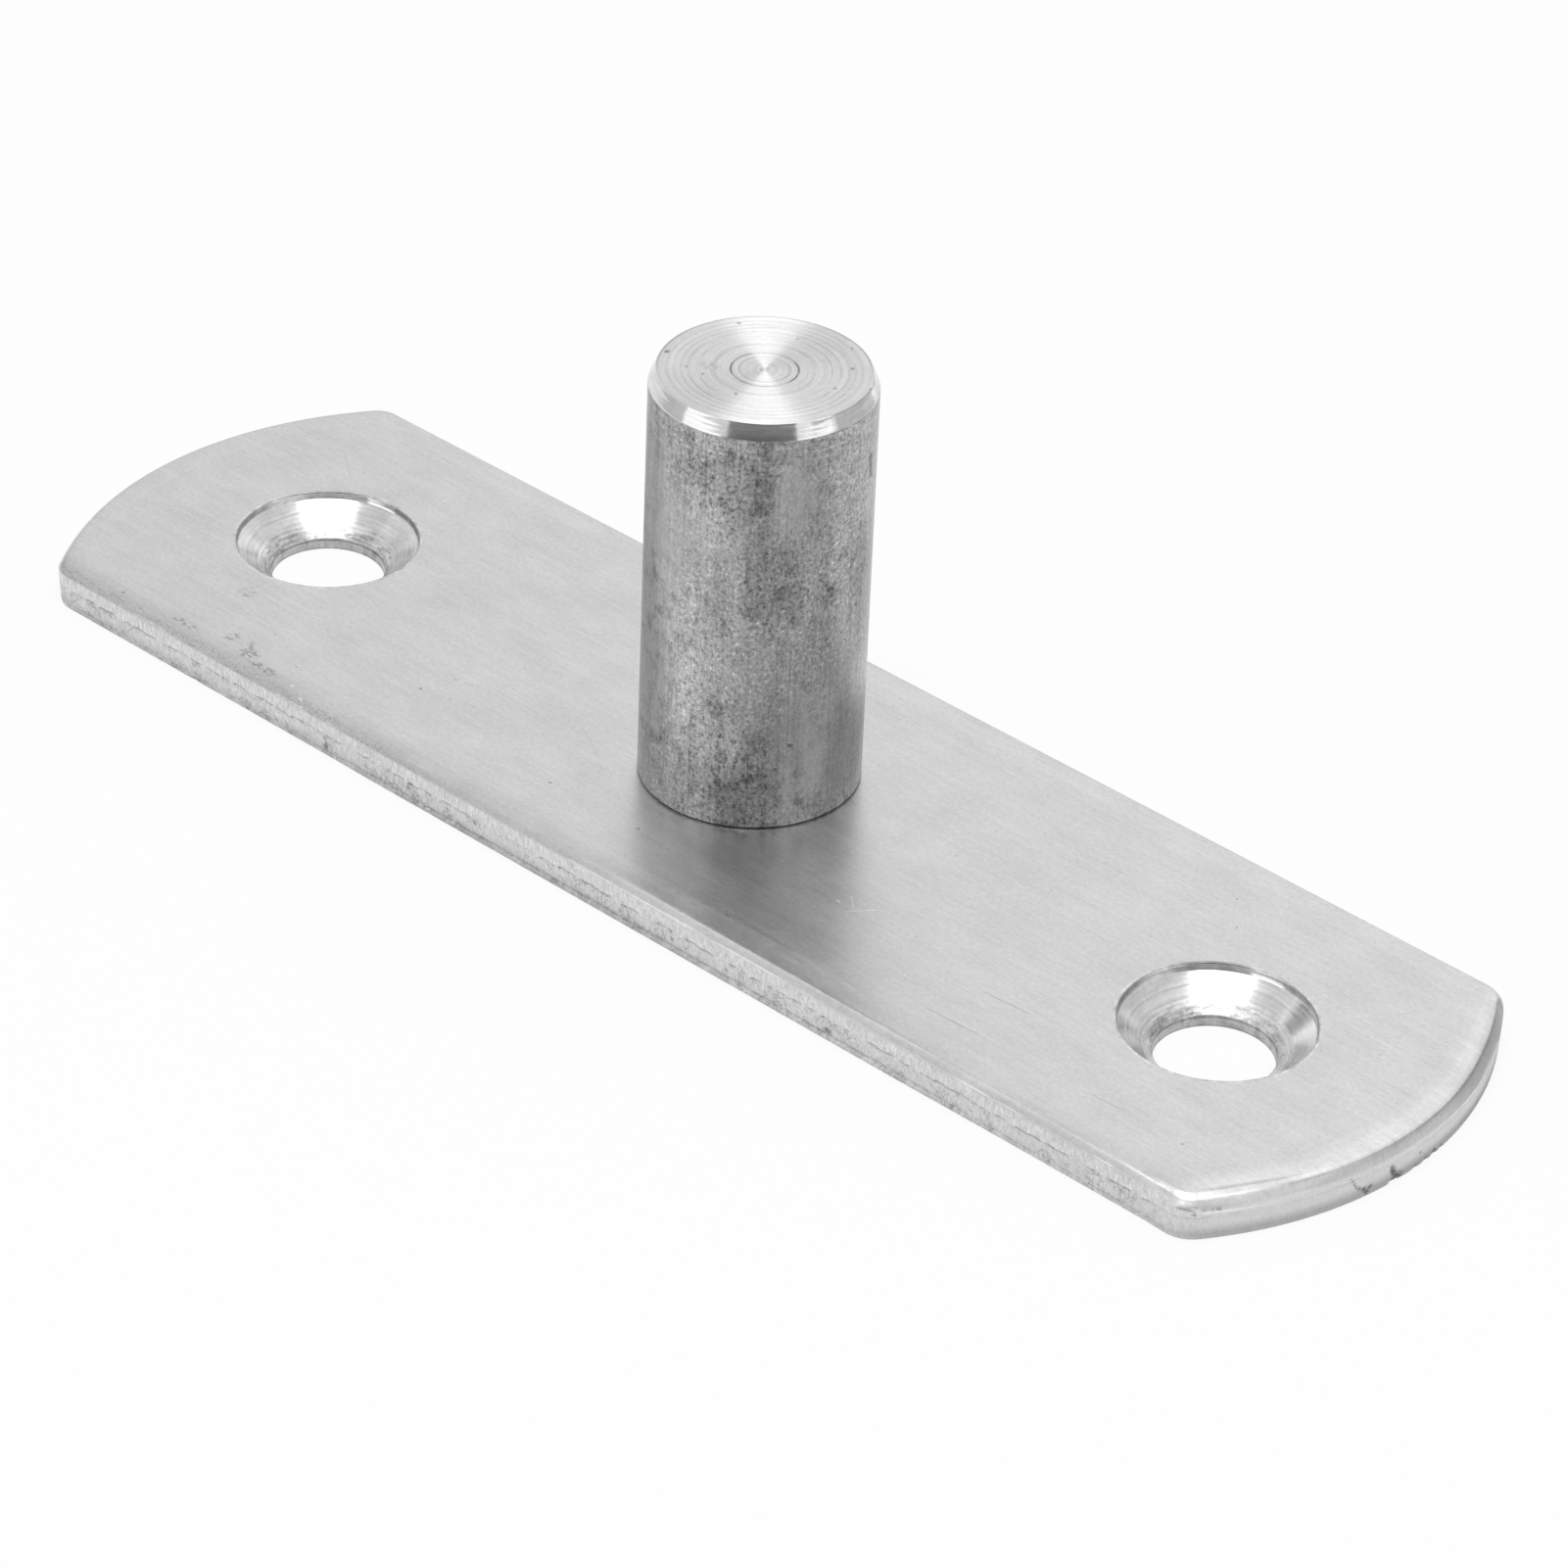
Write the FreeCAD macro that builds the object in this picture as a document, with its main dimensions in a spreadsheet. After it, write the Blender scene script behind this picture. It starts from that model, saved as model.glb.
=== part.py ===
import FreeCAD, Part
import os

import Sketcher

# A pivot hinge for a door: a turned steel pin riveted into the middle of a flat steel plate.
# The plate is screwed down through two countersunk holes, and the door's bush turns on the pin.
# Millimetres and degrees. X runs along the plate, Y across it and Z up along the pin.
# The origin is on the plate's underside, on the pin's axis.

SIZES = (
    ("plate_length", 106.0, "from the top of one end arc to the top of the other"),
    ("plate_width", 30.0, "between the two straight sides"),
    ("plate_thickness", 3.0, "of the flat strip"),
    ("end_radius", 24.5, "of the arc that shears each end"),
    ("corner_radius", 2.2, "where an end arc meets a straight side"),
    ("edge_roll", 0.85, "rounding that the shear leaves along the top edge"),
    ("fracture_height", 0.95, "of the torn lower zone of the sheared edge"),
    ("fracture_inset", 0.18, "that the torn zone draws in by at the underside"),
    ("screw_spacing", 76.0, "between the two screw holes"),
    ("screw_hole_radius", 3.75, "of the through hole"),
    ("screw_sink_radius", 6.0, "of the countersink's mouth"),
    ("screw_rim_depth", 0.4, "of the short straight rim above the cone"),
    ("screw_sink_angle", 100.0, "across the cone for the screw head"),
    ("pin_radius", 7.0, "of the pin above the plate"),
    ("pin_height", 28.5, "of the pin above the plate"),
    ("pin_chamfer_height", 0.97, "along the pin at its free end"),
    ("pin_chamfer_width", 0.45, "across the pin at its free end"),
    ("pin_foot_break", 0.15, "broken edge round the pin's foot"),
    ("spigot_radius", 4.5, "of the thinner end that goes through the plate"),
    ("spigot_clearance", 0.02, "between the spigot and its bore, on the radius"),
    ("rivet_sink_radius", 5.9, "of the back countersink's mouth, round the rivet head"),
    ("rivet_sink_angle", 90.0, "across the cone of the back countersink"),
    ("rivet_recess", 0.1, "from the plate's underside up to the rivet head"),
    ("cut_overrun", 1.0, "that a cutting profile runs past the plate"),
)

FULL_TURN = 360.0
TINY = 1e-4


def make_size_sheet(document):
    """The driving dimensions: an alias, its value and what it measures in each row."""
    sheet = document.addObject("Spreadsheet::Sheet", "sizes")
    for row, (alias, value, meaning) in enumerate(SIZES, start=1):
        sheet.set(f"A{row}", alias)
        sheet.set(f"B{row}", str(value))
        sheet.set(f"C{row}", meaning)
        sheet.setAlias(f"B{row}", alias)
    document.recompute()
    return sheet


def origin_plane(body, role):
    for feature in body.Origin.OriginFeatures:
        if feature.Role == role:
            return feature
    raise ValueError(f"{body.Label} has no {role}")


def new_sketch(body, name, role):
    sketch = body.newObject("Sketcher::SketchObject", name)
    sketch.AttachmentSupport = [(origin_plane(body, role), "")]
    sketch.MapMode = "FlatFace"
    return sketch


def drive(sketch, constraint, expression):
    """Adds a constraint whose value follows an expression of the named sizes."""
    index = sketch.addConstraint(constraint)
    sketch.setExpression(f"Constraints[{index}]", expression)


def turned_profile(body, name, corners):
    """A closed profile for a turned form, drawn beside the upright axis.

    Each corner is a pair of expressions: its radius and its height.
    """
    sketch = new_sketch(body, name, "XZ_Plane")
    count = len(corners)
    start = FreeCAD.Vector(1, 0, 0)
    turn = FreeCAD.Rotation(FreeCAD.Vector(0, 0, 1), FULL_TURN / count)
    for index in range(count):
        end = turn.multVec(start)
        sketch.addGeometry(Part.LineSegment(start, end), False)
        start = end
    for index in range(count):
        sketch.addConstraint(Sketcher.Constraint("Coincident", index, 2, (index + 1) % count, 1))
    for index, (radius, height) in enumerate(corners):
        drive(sketch, Sketcher.Constraint("DistanceX", index, 1, 1.0), radius)
        drive(sketch, Sketcher.Constraint("DistanceY", index, 1, 1.0), height)
    return sketch


def turn_full_circle(body, kind, name, sketch):
    feature = body.newObject(kind, name)
    feature.Profile = sketch
    feature.ReferenceAxis = (sketch, ["V_Axis"])
    feature.Angle = FULL_TURN
    return feature


def recomputed_volume(document, feature):
    document.recompute()
    return feature.Shape.Volume


def flat_edges(shape, height):
    """Names of the edges that lie wholly in the level plane at this height."""
    names = []
    for number, edge in enumerate(shape.Edges, start=1):
        if abs(edge.BoundBox.ZMin - height) < TINY and abs(edge.BoundBox.ZMax - height) < TINY:
            names.append(f"Edge{number}")
    return names


def upright_edges(shape):
    """Names of the edges that run straight up."""
    names = []
    for number, edge in enumerate(shape.Edges, start=1):
        box = edge.BoundBox
        if box.XLength < TINY and box.YLength < TINY and box.ZLength > TINY:
            names.append(f"Edge{number}")
    return names


def draw_plate_outline(body, sheet):
    """Two straight sides joined by an arc at each end."""
    sketch = new_sketch(body, "plate_outline", "XY_Plane")
    half_width = sheet.plate_width / 2
    arc_centre = sheet.plate_length / 2 - sheet.end_radius
    half_side = arc_centre + (sheet.end_radius**2 - half_width**2) ** 0.5
    corner = FreeCAD.Vector(half_side, half_width, 0)
    left_corner = FreeCAD.Vector(-half_side, half_width, 0)
    tip = FreeCAD.Vector(sheet.plate_length / 2, 0, 0)
    back_side = sketch.addGeometry(Part.LineSegment(corner, left_corner), False)
    left_end = sketch.addGeometry(Part.Arc(left_corner, -tip, -corner), False)
    front_side = sketch.addGeometry(Part.LineSegment(-corner, -left_corner), False)
    right_end = sketch.addGeometry(Part.Arc(-left_corner, tip, corner), False)
    origin = (-1, 1)
    x_axis = -1
    y_axis = -2
    start, end, centre = 1, 2, 3
    for side in (back_side, front_side):
        sketch.addConstraint(Sketcher.Constraint("Symmetric", side, start, side, end, y_axis))
    sketch.addConstraint(Sketcher.Constraint("Coincident", back_side, end, left_end, start))
    sketch.addConstraint(Sketcher.Constraint("Coincident", left_end, end, front_side, start))
    sketch.addConstraint(Sketcher.Constraint("Coincident", front_side, end, right_end, start))
    sketch.addConstraint(Sketcher.Constraint("Coincident", right_end, end, back_side, start))
    sketch.addConstraint(Sketcher.Constraint("Symmetric", left_end, start, left_end, end, x_axis))
    sketch.addConstraint(Sketcher.Constraint("Equal", left_end, right_end))
    drive(sketch, Sketcher.Constraint("Radius", right_end, sheet.end_radius), "sizes.end_radius")
    drive(
        sketch,
        Sketcher.Constraint("DistanceY", front_side, start, back_side, end, sheet.plate_width),
        "sizes.plate_width",
    )
    drive(
        sketch,
        Sketcher.Constraint("DistanceX", *origin, right_end, centre, arc_centre),
        "sizes.plate_length / 2 - sizes.end_radius",
    )
    return sketch


def make_mounting_plate(document, sheet):
    """The flat strip: sheared ends, rolled top edge, torn lower edge, screw holes and pin bore."""
    body = document.addObject("PartDesign::Body", "mounting_plate")
    body.Label = "mounting_plate"

    blank = body.newObject("PartDesign::Pad", "sheared_blank")
    blank.Profile = draw_plate_outline(body, sheet)
    blank.setExpression("Length", "sizes.plate_thickness")
    document.recompute()

    corners = body.newObject("PartDesign::Fillet", "rounded_corners")
    corners.Base = (blank, upright_edges(blank.Shape))
    corners.setExpression("Radius", "sizes.corner_radius")
    document.recompute()

    torn_edge = body.newObject("PartDesign::Chamfer", "torn_lower_edge")
    torn_edge.Base = (corners, flat_edges(corners.Shape, 0.0))
    torn_edge.ChamferType = "Two distances"
    torn_edge.setExpression("Size", "sizes.fracture_height")
    torn_edge.setExpression("Size2", "sizes.fracture_inset")
    document.recompute()

    rolled_edge = body.newObject("PartDesign::Fillet", "rolled_top_edge")
    rolled_edge.Base = (torn_edge, flat_edges(torn_edge.Shape, sheet.plate_thickness))
    rolled_edge.setExpression("Radius", "sizes.edge_roll")
    before = recomputed_volume(document, rolled_edge)

    top = "sizes.plate_thickness"
    rim = f"{top} - sizes.screw_rim_depth"
    cone_depth = "(sizes.screw_sink_radius - sizes.screw_hole_radius) / tan(sizes.screw_sink_angle / 2)"
    hole_profile = turned_profile(
        body,
        "screw_hole_profile",
        (
            ("0", f"{top} + sizes.cut_overrun"),
            ("sizes.screw_sink_radius", f"{top} + sizes.cut_overrun"),
            ("sizes.screw_sink_radius", rim),
            ("sizes.screw_hole_radius", f"{rim} - {cone_depth}"),
            ("sizes.screw_hole_radius", "-sizes.cut_overrun"),
            ("0", "-sizes.cut_overrun"),
        ),
    )
    hole_profile.setExpression("AttachmentOffset.Base.x", "sizes.screw_spacing / 2")
    right_hole = turn_full_circle(body, "PartDesign::Groove", "right_screw_hole", hole_profile)
    after_right = recomputed_volume(document, right_hole)

    both_holes = body.newObject("PartDesign::Mirrored", "both_screw_holes")
    both_holes.Originals = [right_hole]
    both_holes.MirrorPlane = (origin_plane(body, "YZ_Plane"), [""])
    body.Tip = both_holes
    after_left = recomputed_volume(document, both_holes)

    sink_depth = "(sizes.rivet_sink_radius - sizes.spigot_radius) / tan(sizes.rivet_sink_angle / 2)"
    bore_profile = turned_profile(
        body,
        "pin_bore_profile",
        (
            ("0", "-sizes.cut_overrun"),
            ("sizes.rivet_sink_radius", "-sizes.cut_overrun"),
            ("sizes.rivet_sink_radius", "0"),
            ("sizes.spigot_radius", sink_depth),
            ("sizes.spigot_radius", f"{top} + sizes.cut_overrun"),
            ("0", f"{top} + sizes.cut_overrun"),
        ),
    )
    pin_bore = turn_full_circle(body, "PartDesign::Groove", "pin_bore", bore_profile)
    after_bore = recomputed_volume(document, pin_bore)
    body.Tip = pin_bore
    if not before > after_right > after_left > after_bore:
        raise ValueError("a hole in the plate cuts nothing")
    return body


def make_pivot_pin(document):
    """The turned bar: chamfered free end, shoulder on the plate, spigot and spread rivet head."""
    body = document.addObject("PartDesign::Body", "pivot_pin")
    body.Label = "pivot_pin"
    seat = "sizes.plate_thickness"
    end = f"{seat} + sizes.pin_height"
    slope = "tan(sizes.rivet_sink_angle / 2)"
    neck_radius = "sizes.spigot_radius - sizes.spigot_clearance"
    head_radius = f"sizes.rivet_sink_radius - sizes.spigot_clearance - sizes.rivet_recess * {slope}"
    profile = turned_profile(
        body,
        "pin_profile",
        (
            ("0", "sizes.rivet_recess"),
            (head_radius, "sizes.rivet_recess"),
            (neck_radius, f"(sizes.rivet_sink_radius - sizes.spigot_radius) / {slope}"),
            (neck_radius, seat),
            ("sizes.pin_radius - sizes.pin_foot_break", seat),
            ("sizes.pin_radius", f"{seat} + sizes.pin_foot_break"),
            ("sizes.pin_radius", f"{end} - sizes.pin_chamfer_height"),
            ("sizes.pin_radius - sizes.pin_chamfer_width", end),
            ("0", end),
        ),
    )
    turned_bar = turn_full_circle(body, "PartDesign::Revolution", "turned_bar", profile)
    body.Tip = turned_bar
    document.recompute()
    return body


def check_document(document, bodies):
    """Stops before anything is written if a feature failed or a solid isn't sound."""
    for item in document.Objects:
        if "Invalid" in item.State or "Error" in item.State:
            raise ValueError(f"{item.Name} failed: {item.State}")
    for body in bodies:
        shape = body.Shape
        if shape.isNull() or not shape.isValid() or len(shape.Solids) != 1:
            raise ValueError(f"{body.Label} is not one sound solid")


def main():
    document = FreeCAD.newDocument("pivot_hinge")
    sheet = make_size_sheet(document)
    bodies = (make_mounting_plate(document, sheet), make_pivot_pin(document))
    document.recompute()
    check_document(document, bodies)
    os.makedirs("parts", exist_ok=True)
    for body in bodies:
        body.Shape.exportStep(f"parts/{body.Label}.step")
        box = body.Shape.BoundBox
        print(body.Label, round(body.Shape.Volume, 3), "mm3, X", round(box.XLength, 3), "Y", round(box.YLength, 3),
              "Z", round(box.ZMin, 3), "to", round(box.ZMax, 3))


main()
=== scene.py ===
import math
import random

import bmesh
import bpy
from mathutils import Matrix, Vector


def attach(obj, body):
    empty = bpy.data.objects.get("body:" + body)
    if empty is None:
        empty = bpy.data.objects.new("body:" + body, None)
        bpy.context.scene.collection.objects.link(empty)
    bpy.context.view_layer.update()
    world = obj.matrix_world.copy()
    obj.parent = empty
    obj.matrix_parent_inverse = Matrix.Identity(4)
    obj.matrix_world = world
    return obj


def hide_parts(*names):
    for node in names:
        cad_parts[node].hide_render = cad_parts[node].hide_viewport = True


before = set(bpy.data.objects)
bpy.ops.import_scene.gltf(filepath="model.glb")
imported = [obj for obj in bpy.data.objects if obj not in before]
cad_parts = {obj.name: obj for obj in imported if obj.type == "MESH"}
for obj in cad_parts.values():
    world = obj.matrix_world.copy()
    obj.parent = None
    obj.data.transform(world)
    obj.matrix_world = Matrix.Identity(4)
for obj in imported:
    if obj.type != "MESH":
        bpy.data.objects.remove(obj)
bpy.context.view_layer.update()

# A pivot hinge: a turned steel pin riveted into a sheared steel plate with two countersunk screw holes.
# Lengths in the tables below are millimetres, and MM turns them into the frame's metres.

MM = 0.001

PLATE_LENGTH = 106.0
PLATE_WIDTH = 30.0
PLATE_THICKNESS = 3.0
END_RADIUS = 24.5
CORNER_RADIUS = 2.2
HOLE_X = 38.0
SINK_RADIUS = 6.0
HOLE_RADIUS = 3.75
BORE_RADIUS = 4.5
RIVET_SINK_RADIUS = 5.9
PIN_RADIUS = 7.0
PIN_TOP = 31.5
CHAMFER_FOOT = 30.53
END_FACE_RADIUS = 6.55
SPIGOT_RADIUS = 4.48
RIVET_HEAD_HEIGHT = 0.1

# Where round paths start and end, in degrees: behind the pin, away from the camera.
SEAM_ANGLE = 131.65

# The angle in degrees past which two faces meet in a sharp edge.
SHARP_ANGLE = 40

# How near a height a point counts as at it, for the loops that are filled and for the faces that are level.
NEAR_LEVEL = 0.001
ON_LEVEL = 0.0001

# Values that a section's points carry through the sweep, besides their place.
SECTION_VALUES = (
    "across", "rise", "follow", "sag", "tear", "recess", "lip_out",
    "grain_out", "grain_up", "streak", "side", "torn", "crack",
)

# Values that a path's points carry: how wide and deep the roll is, how much the corner slumps,
# how torn and scuffed the edge is, and how far its lip stands out.
PATH_VALUES = ("roll_in", "roll_down", "slump", "ragged", "scuff", "lip")

# Dents in the plate's front edge: place along it, height, reach and depth.
FRONT_DENTS = (
    (-48.6, 2.3, 0.35, 0.05), (-34.8, 0.05, 0.34, 0.08), (-34.4, 0.12, 0.26, 0.06), (-29.8, 0.15, 0.24, 0.05),
    (-27.1, 0.55, 0.2, 0.03), (-22.6, 1.3, 0.16, 0.03), (-22.55, 0.95, 0.2, 0.05), (-22.6, 0.66, 0.3, 0.1),
    (-18.9, 0.9, 0.18, 0.04), (-16.4, 1.1, 0.16, 0.03), (-14.9, 1.5, 0.2, 0.05), (-15.0, 1.1, 0.2, 0.05),
    (-14.7, 0.75, 0.2, 0.05), (-11.7, 1.15, 0.2, 0.05), (-11.5, 0.7, 0.22, 0.05), (-9.2, 1.3, 0.18, 0.04),
    (3.3, 0.9, 0.18, 0.04), (7.6, 1.5, 0.16, 0.03), (7.7, 1.0, 0.18, 0.04), (12.2, 0.95, 0.2, 0.05),
    (20.3, 0.62, 0.34, 0.09), (20.7, 0.6, 0.26, 0.07), (26.4, 0.7, 0.2, 0.04), (31.8, 0.8, 0.16, 0.04),
    (48.4, 2.25, 0.22, 0.05), (48.9, 2.35, 0.3, 0.06),
)

# Dents in the plate's right end: angle round its arc, height, reach and depth.
END_DENTS = (
    (-4.4, 1.15, 0.26, 0.1), (-4.2, 0.9, 0.3, 0.16), (-3.8, 0.6, 0.3, 0.2), (-3.3, 0.3, 0.4, 0.22),
    (-2.7, 0.22, 0.3, 0.16), (-4.0, 0.08, 0.4, 0.14), (-9.7, 0.62, 0.24, 0.07), (-8.6, 0.6, 0.22, 0.07),
    (-9.2, 0.35, 0.26, 0.06), (-12.4, 1.8, 0.13, 0.03), (-12.0, 1.55, 0.13, 0.03), (-11.6, 1.3, 0.14, 0.03),
    (-11.2, 1.05, 0.14, 0.03), (-10.7, 0.85, 0.15, 0.04), (0.6, 0.1, 0.3, 0.06), (3.0, 0.1, 0.3, 0.07),
    (5.0, 0.15, 0.34, 0.08), (6.8, 0.12, 0.26, 0.06), (1.5, 1.0, 0.16, 0.03), (-37.6, 2.5, 0.22, 0.04),
    (-36.6, 2.4, 0.22, 0.05), (-35.6, 2.28, 0.22, 0.05), (-34.6, 2.18, 0.2, 0.05), (-33.5, 2.1, 0.18, 0.04),
    (-32.5, 2.05, 0.16, 0.03), (-35.9, 1.82, 0.16, 0.05),
)

# Dents in the pin's side: angle round it, height, reach and depth.
PIN_DENTS = (
    (21.6, 27.2, 0.26, 0.06), (22.0, 26.9, 0.3, 0.08), (22.4, 26.5, 0.3, 0.08), (22.8, 26.1, 0.28, 0.07),
    (23.2, 25.8, 0.22, 0.06), (-8.0, 19.5, 0.26, 0.04), (-7.4, 19.0, 0.18, 0.03), (-27.9, 9.0, 0.2, 0.04),
    (-35.0, 7.3, 0.14, 0.03), (-125.0, 14.1, 0.2, 0.04), (12.0, 17.4, 0.16, 0.03),
)

# Pits in the pin's faced end: place, reach and depth.
END_FACE_PITS = (
    (1.9, 5.7, 0.14, 0.02), (3.55, 3.9, 0.15, 0.03), (-4.98, 3.0, 0.16, 0.03), (-2.2, -3.1, 0.15, 0.03),
    (-5.55, -2.65, 0.2, 0.03), (0.8, -3.4, 0.13, 0.02), (-1.2, 4.15, 0.11, 0.02), (4.45, 1.4, 0.11, 0.02),
    (-3.5, -3.15, 0.12, 0.02),
)


class Value:
    """A socket of a node tree, with arithmetic that adds Math nodes."""

    def __init__(self, bench, socket):
        self.bench = bench
        self.socket = socket

    def __add__(self, other):
        return self.bench.math("ADD", self, other)

    def __radd__(self, other):
        return self.bench.math("ADD", other, self)

    def __sub__(self, other):
        return self.bench.math("SUBTRACT", self, other)

    def __rsub__(self, other):
        return self.bench.math("SUBTRACT", other, self)

    def __mul__(self, other):
        return self.bench.math("MULTIPLY", self, other)

    def __rmul__(self, other):
        return self.bench.math("MULTIPLY", other, self)

    def __truediv__(self, other):
        return self.bench.math("DIVIDE", self, other)

    def __rtruediv__(self, other):
        return self.bench.math("DIVIDE", other, self)


class Bench:
    """A node tree on which nodes are placed and joined."""

    def __init__(self, tree):
        self.tree = tree

    def place(self, kind, settings=None, sockets=None):
        """Adds a node: its settings first, then the value or link of each socket, named by identifier."""
        node = self.tree.nodes.new(kind)
        for name, setting in (settings or {}).items():
            setattr(node, name, setting)
        by_identifier = {socket.identifier: socket for socket in node.inputs}
        for name, item in (sockets or {}).items():
            self.connect(item, by_identifier[name])
        return node

    def connect(self, item, socket):
        if isinstance(item, Value):
            self.tree.links.new(item.socket, socket)
        else:
            socket.default_value = item

    def result(self, node, name):
        for socket in node.outputs:
            if socket.identifier == name:
                return Value(self, socket)
        raise ValueError(f"{node.bl_idname} has no output {name}")

    def math(self, operation, first, second=0.0):
        node = self.place("ShaderNodeMath", {"operation": operation}, {"Value": first, "Value_001": second})
        return self.result(node, "Value")

    def vector_math(self, operation, first, second=(0.0, 0.0, 0.0), scale=1.0):
        sockets = {"Vector": first, "Vector_001": second, "Scale": scale}
        node = self.place("ShaderNodeVectorMath", {"operation": operation}, sockets)
        return self.result(node, "Vector")

    def vector(self, x, y, z):
        return self.result(self.place("ShaderNodeCombineXYZ", None, {"X": x, "Y": y, "Z": z}), "Vector")

    def parts(self, vector):
        node = self.place("ShaderNodeSeparateXYZ", None, {"Vector": vector})
        return [self.result(node, name) for name in ("X", "Y", "Z")]

    def fade(self, value, start, end, low=0.0, high=1.0):
        """Runs smoothly from low to high while the value goes from start to end."""
        sockets = {"Value": value, "From Min": start, "From Max": end, "To Min": low, "To Max": high}
        node = self.place("ShaderNodeMapRange", {"interpolation_type": "SMOOTHSTEP"}, sockets)
        return self.result(node, "Result")

    def noise(self, vector, scale, detail=2.0, roughness=0.5):
        """Noise about 0, mostly between -0.3 and 0.3."""
        sockets = {"Vector": vector, "Scale": scale, "Detail": detail, "Roughness": roughness}
        return self.result(self.place("ShaderNodeTexNoise", None, sockets), "Fac") - 0.5

    def cells(self, vector, scale, feature="F1"):
        """How far each place is from the middle of its cell, or from its cell's border."""
        node = self.place("ShaderNodeTexVoronoi", {"feature": feature}, {"Vector": vector, "Scale": scale})
        return self.result(node, "Distance")

    def clamp(self, value):
        node = self.place("ShaderNodeClamp", None, {"Value": value, "Min": 0.0, "Max": 1.0})
        return self.result(node, "Result")


# Geometry Nodes: a section swept along a closed path

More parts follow.
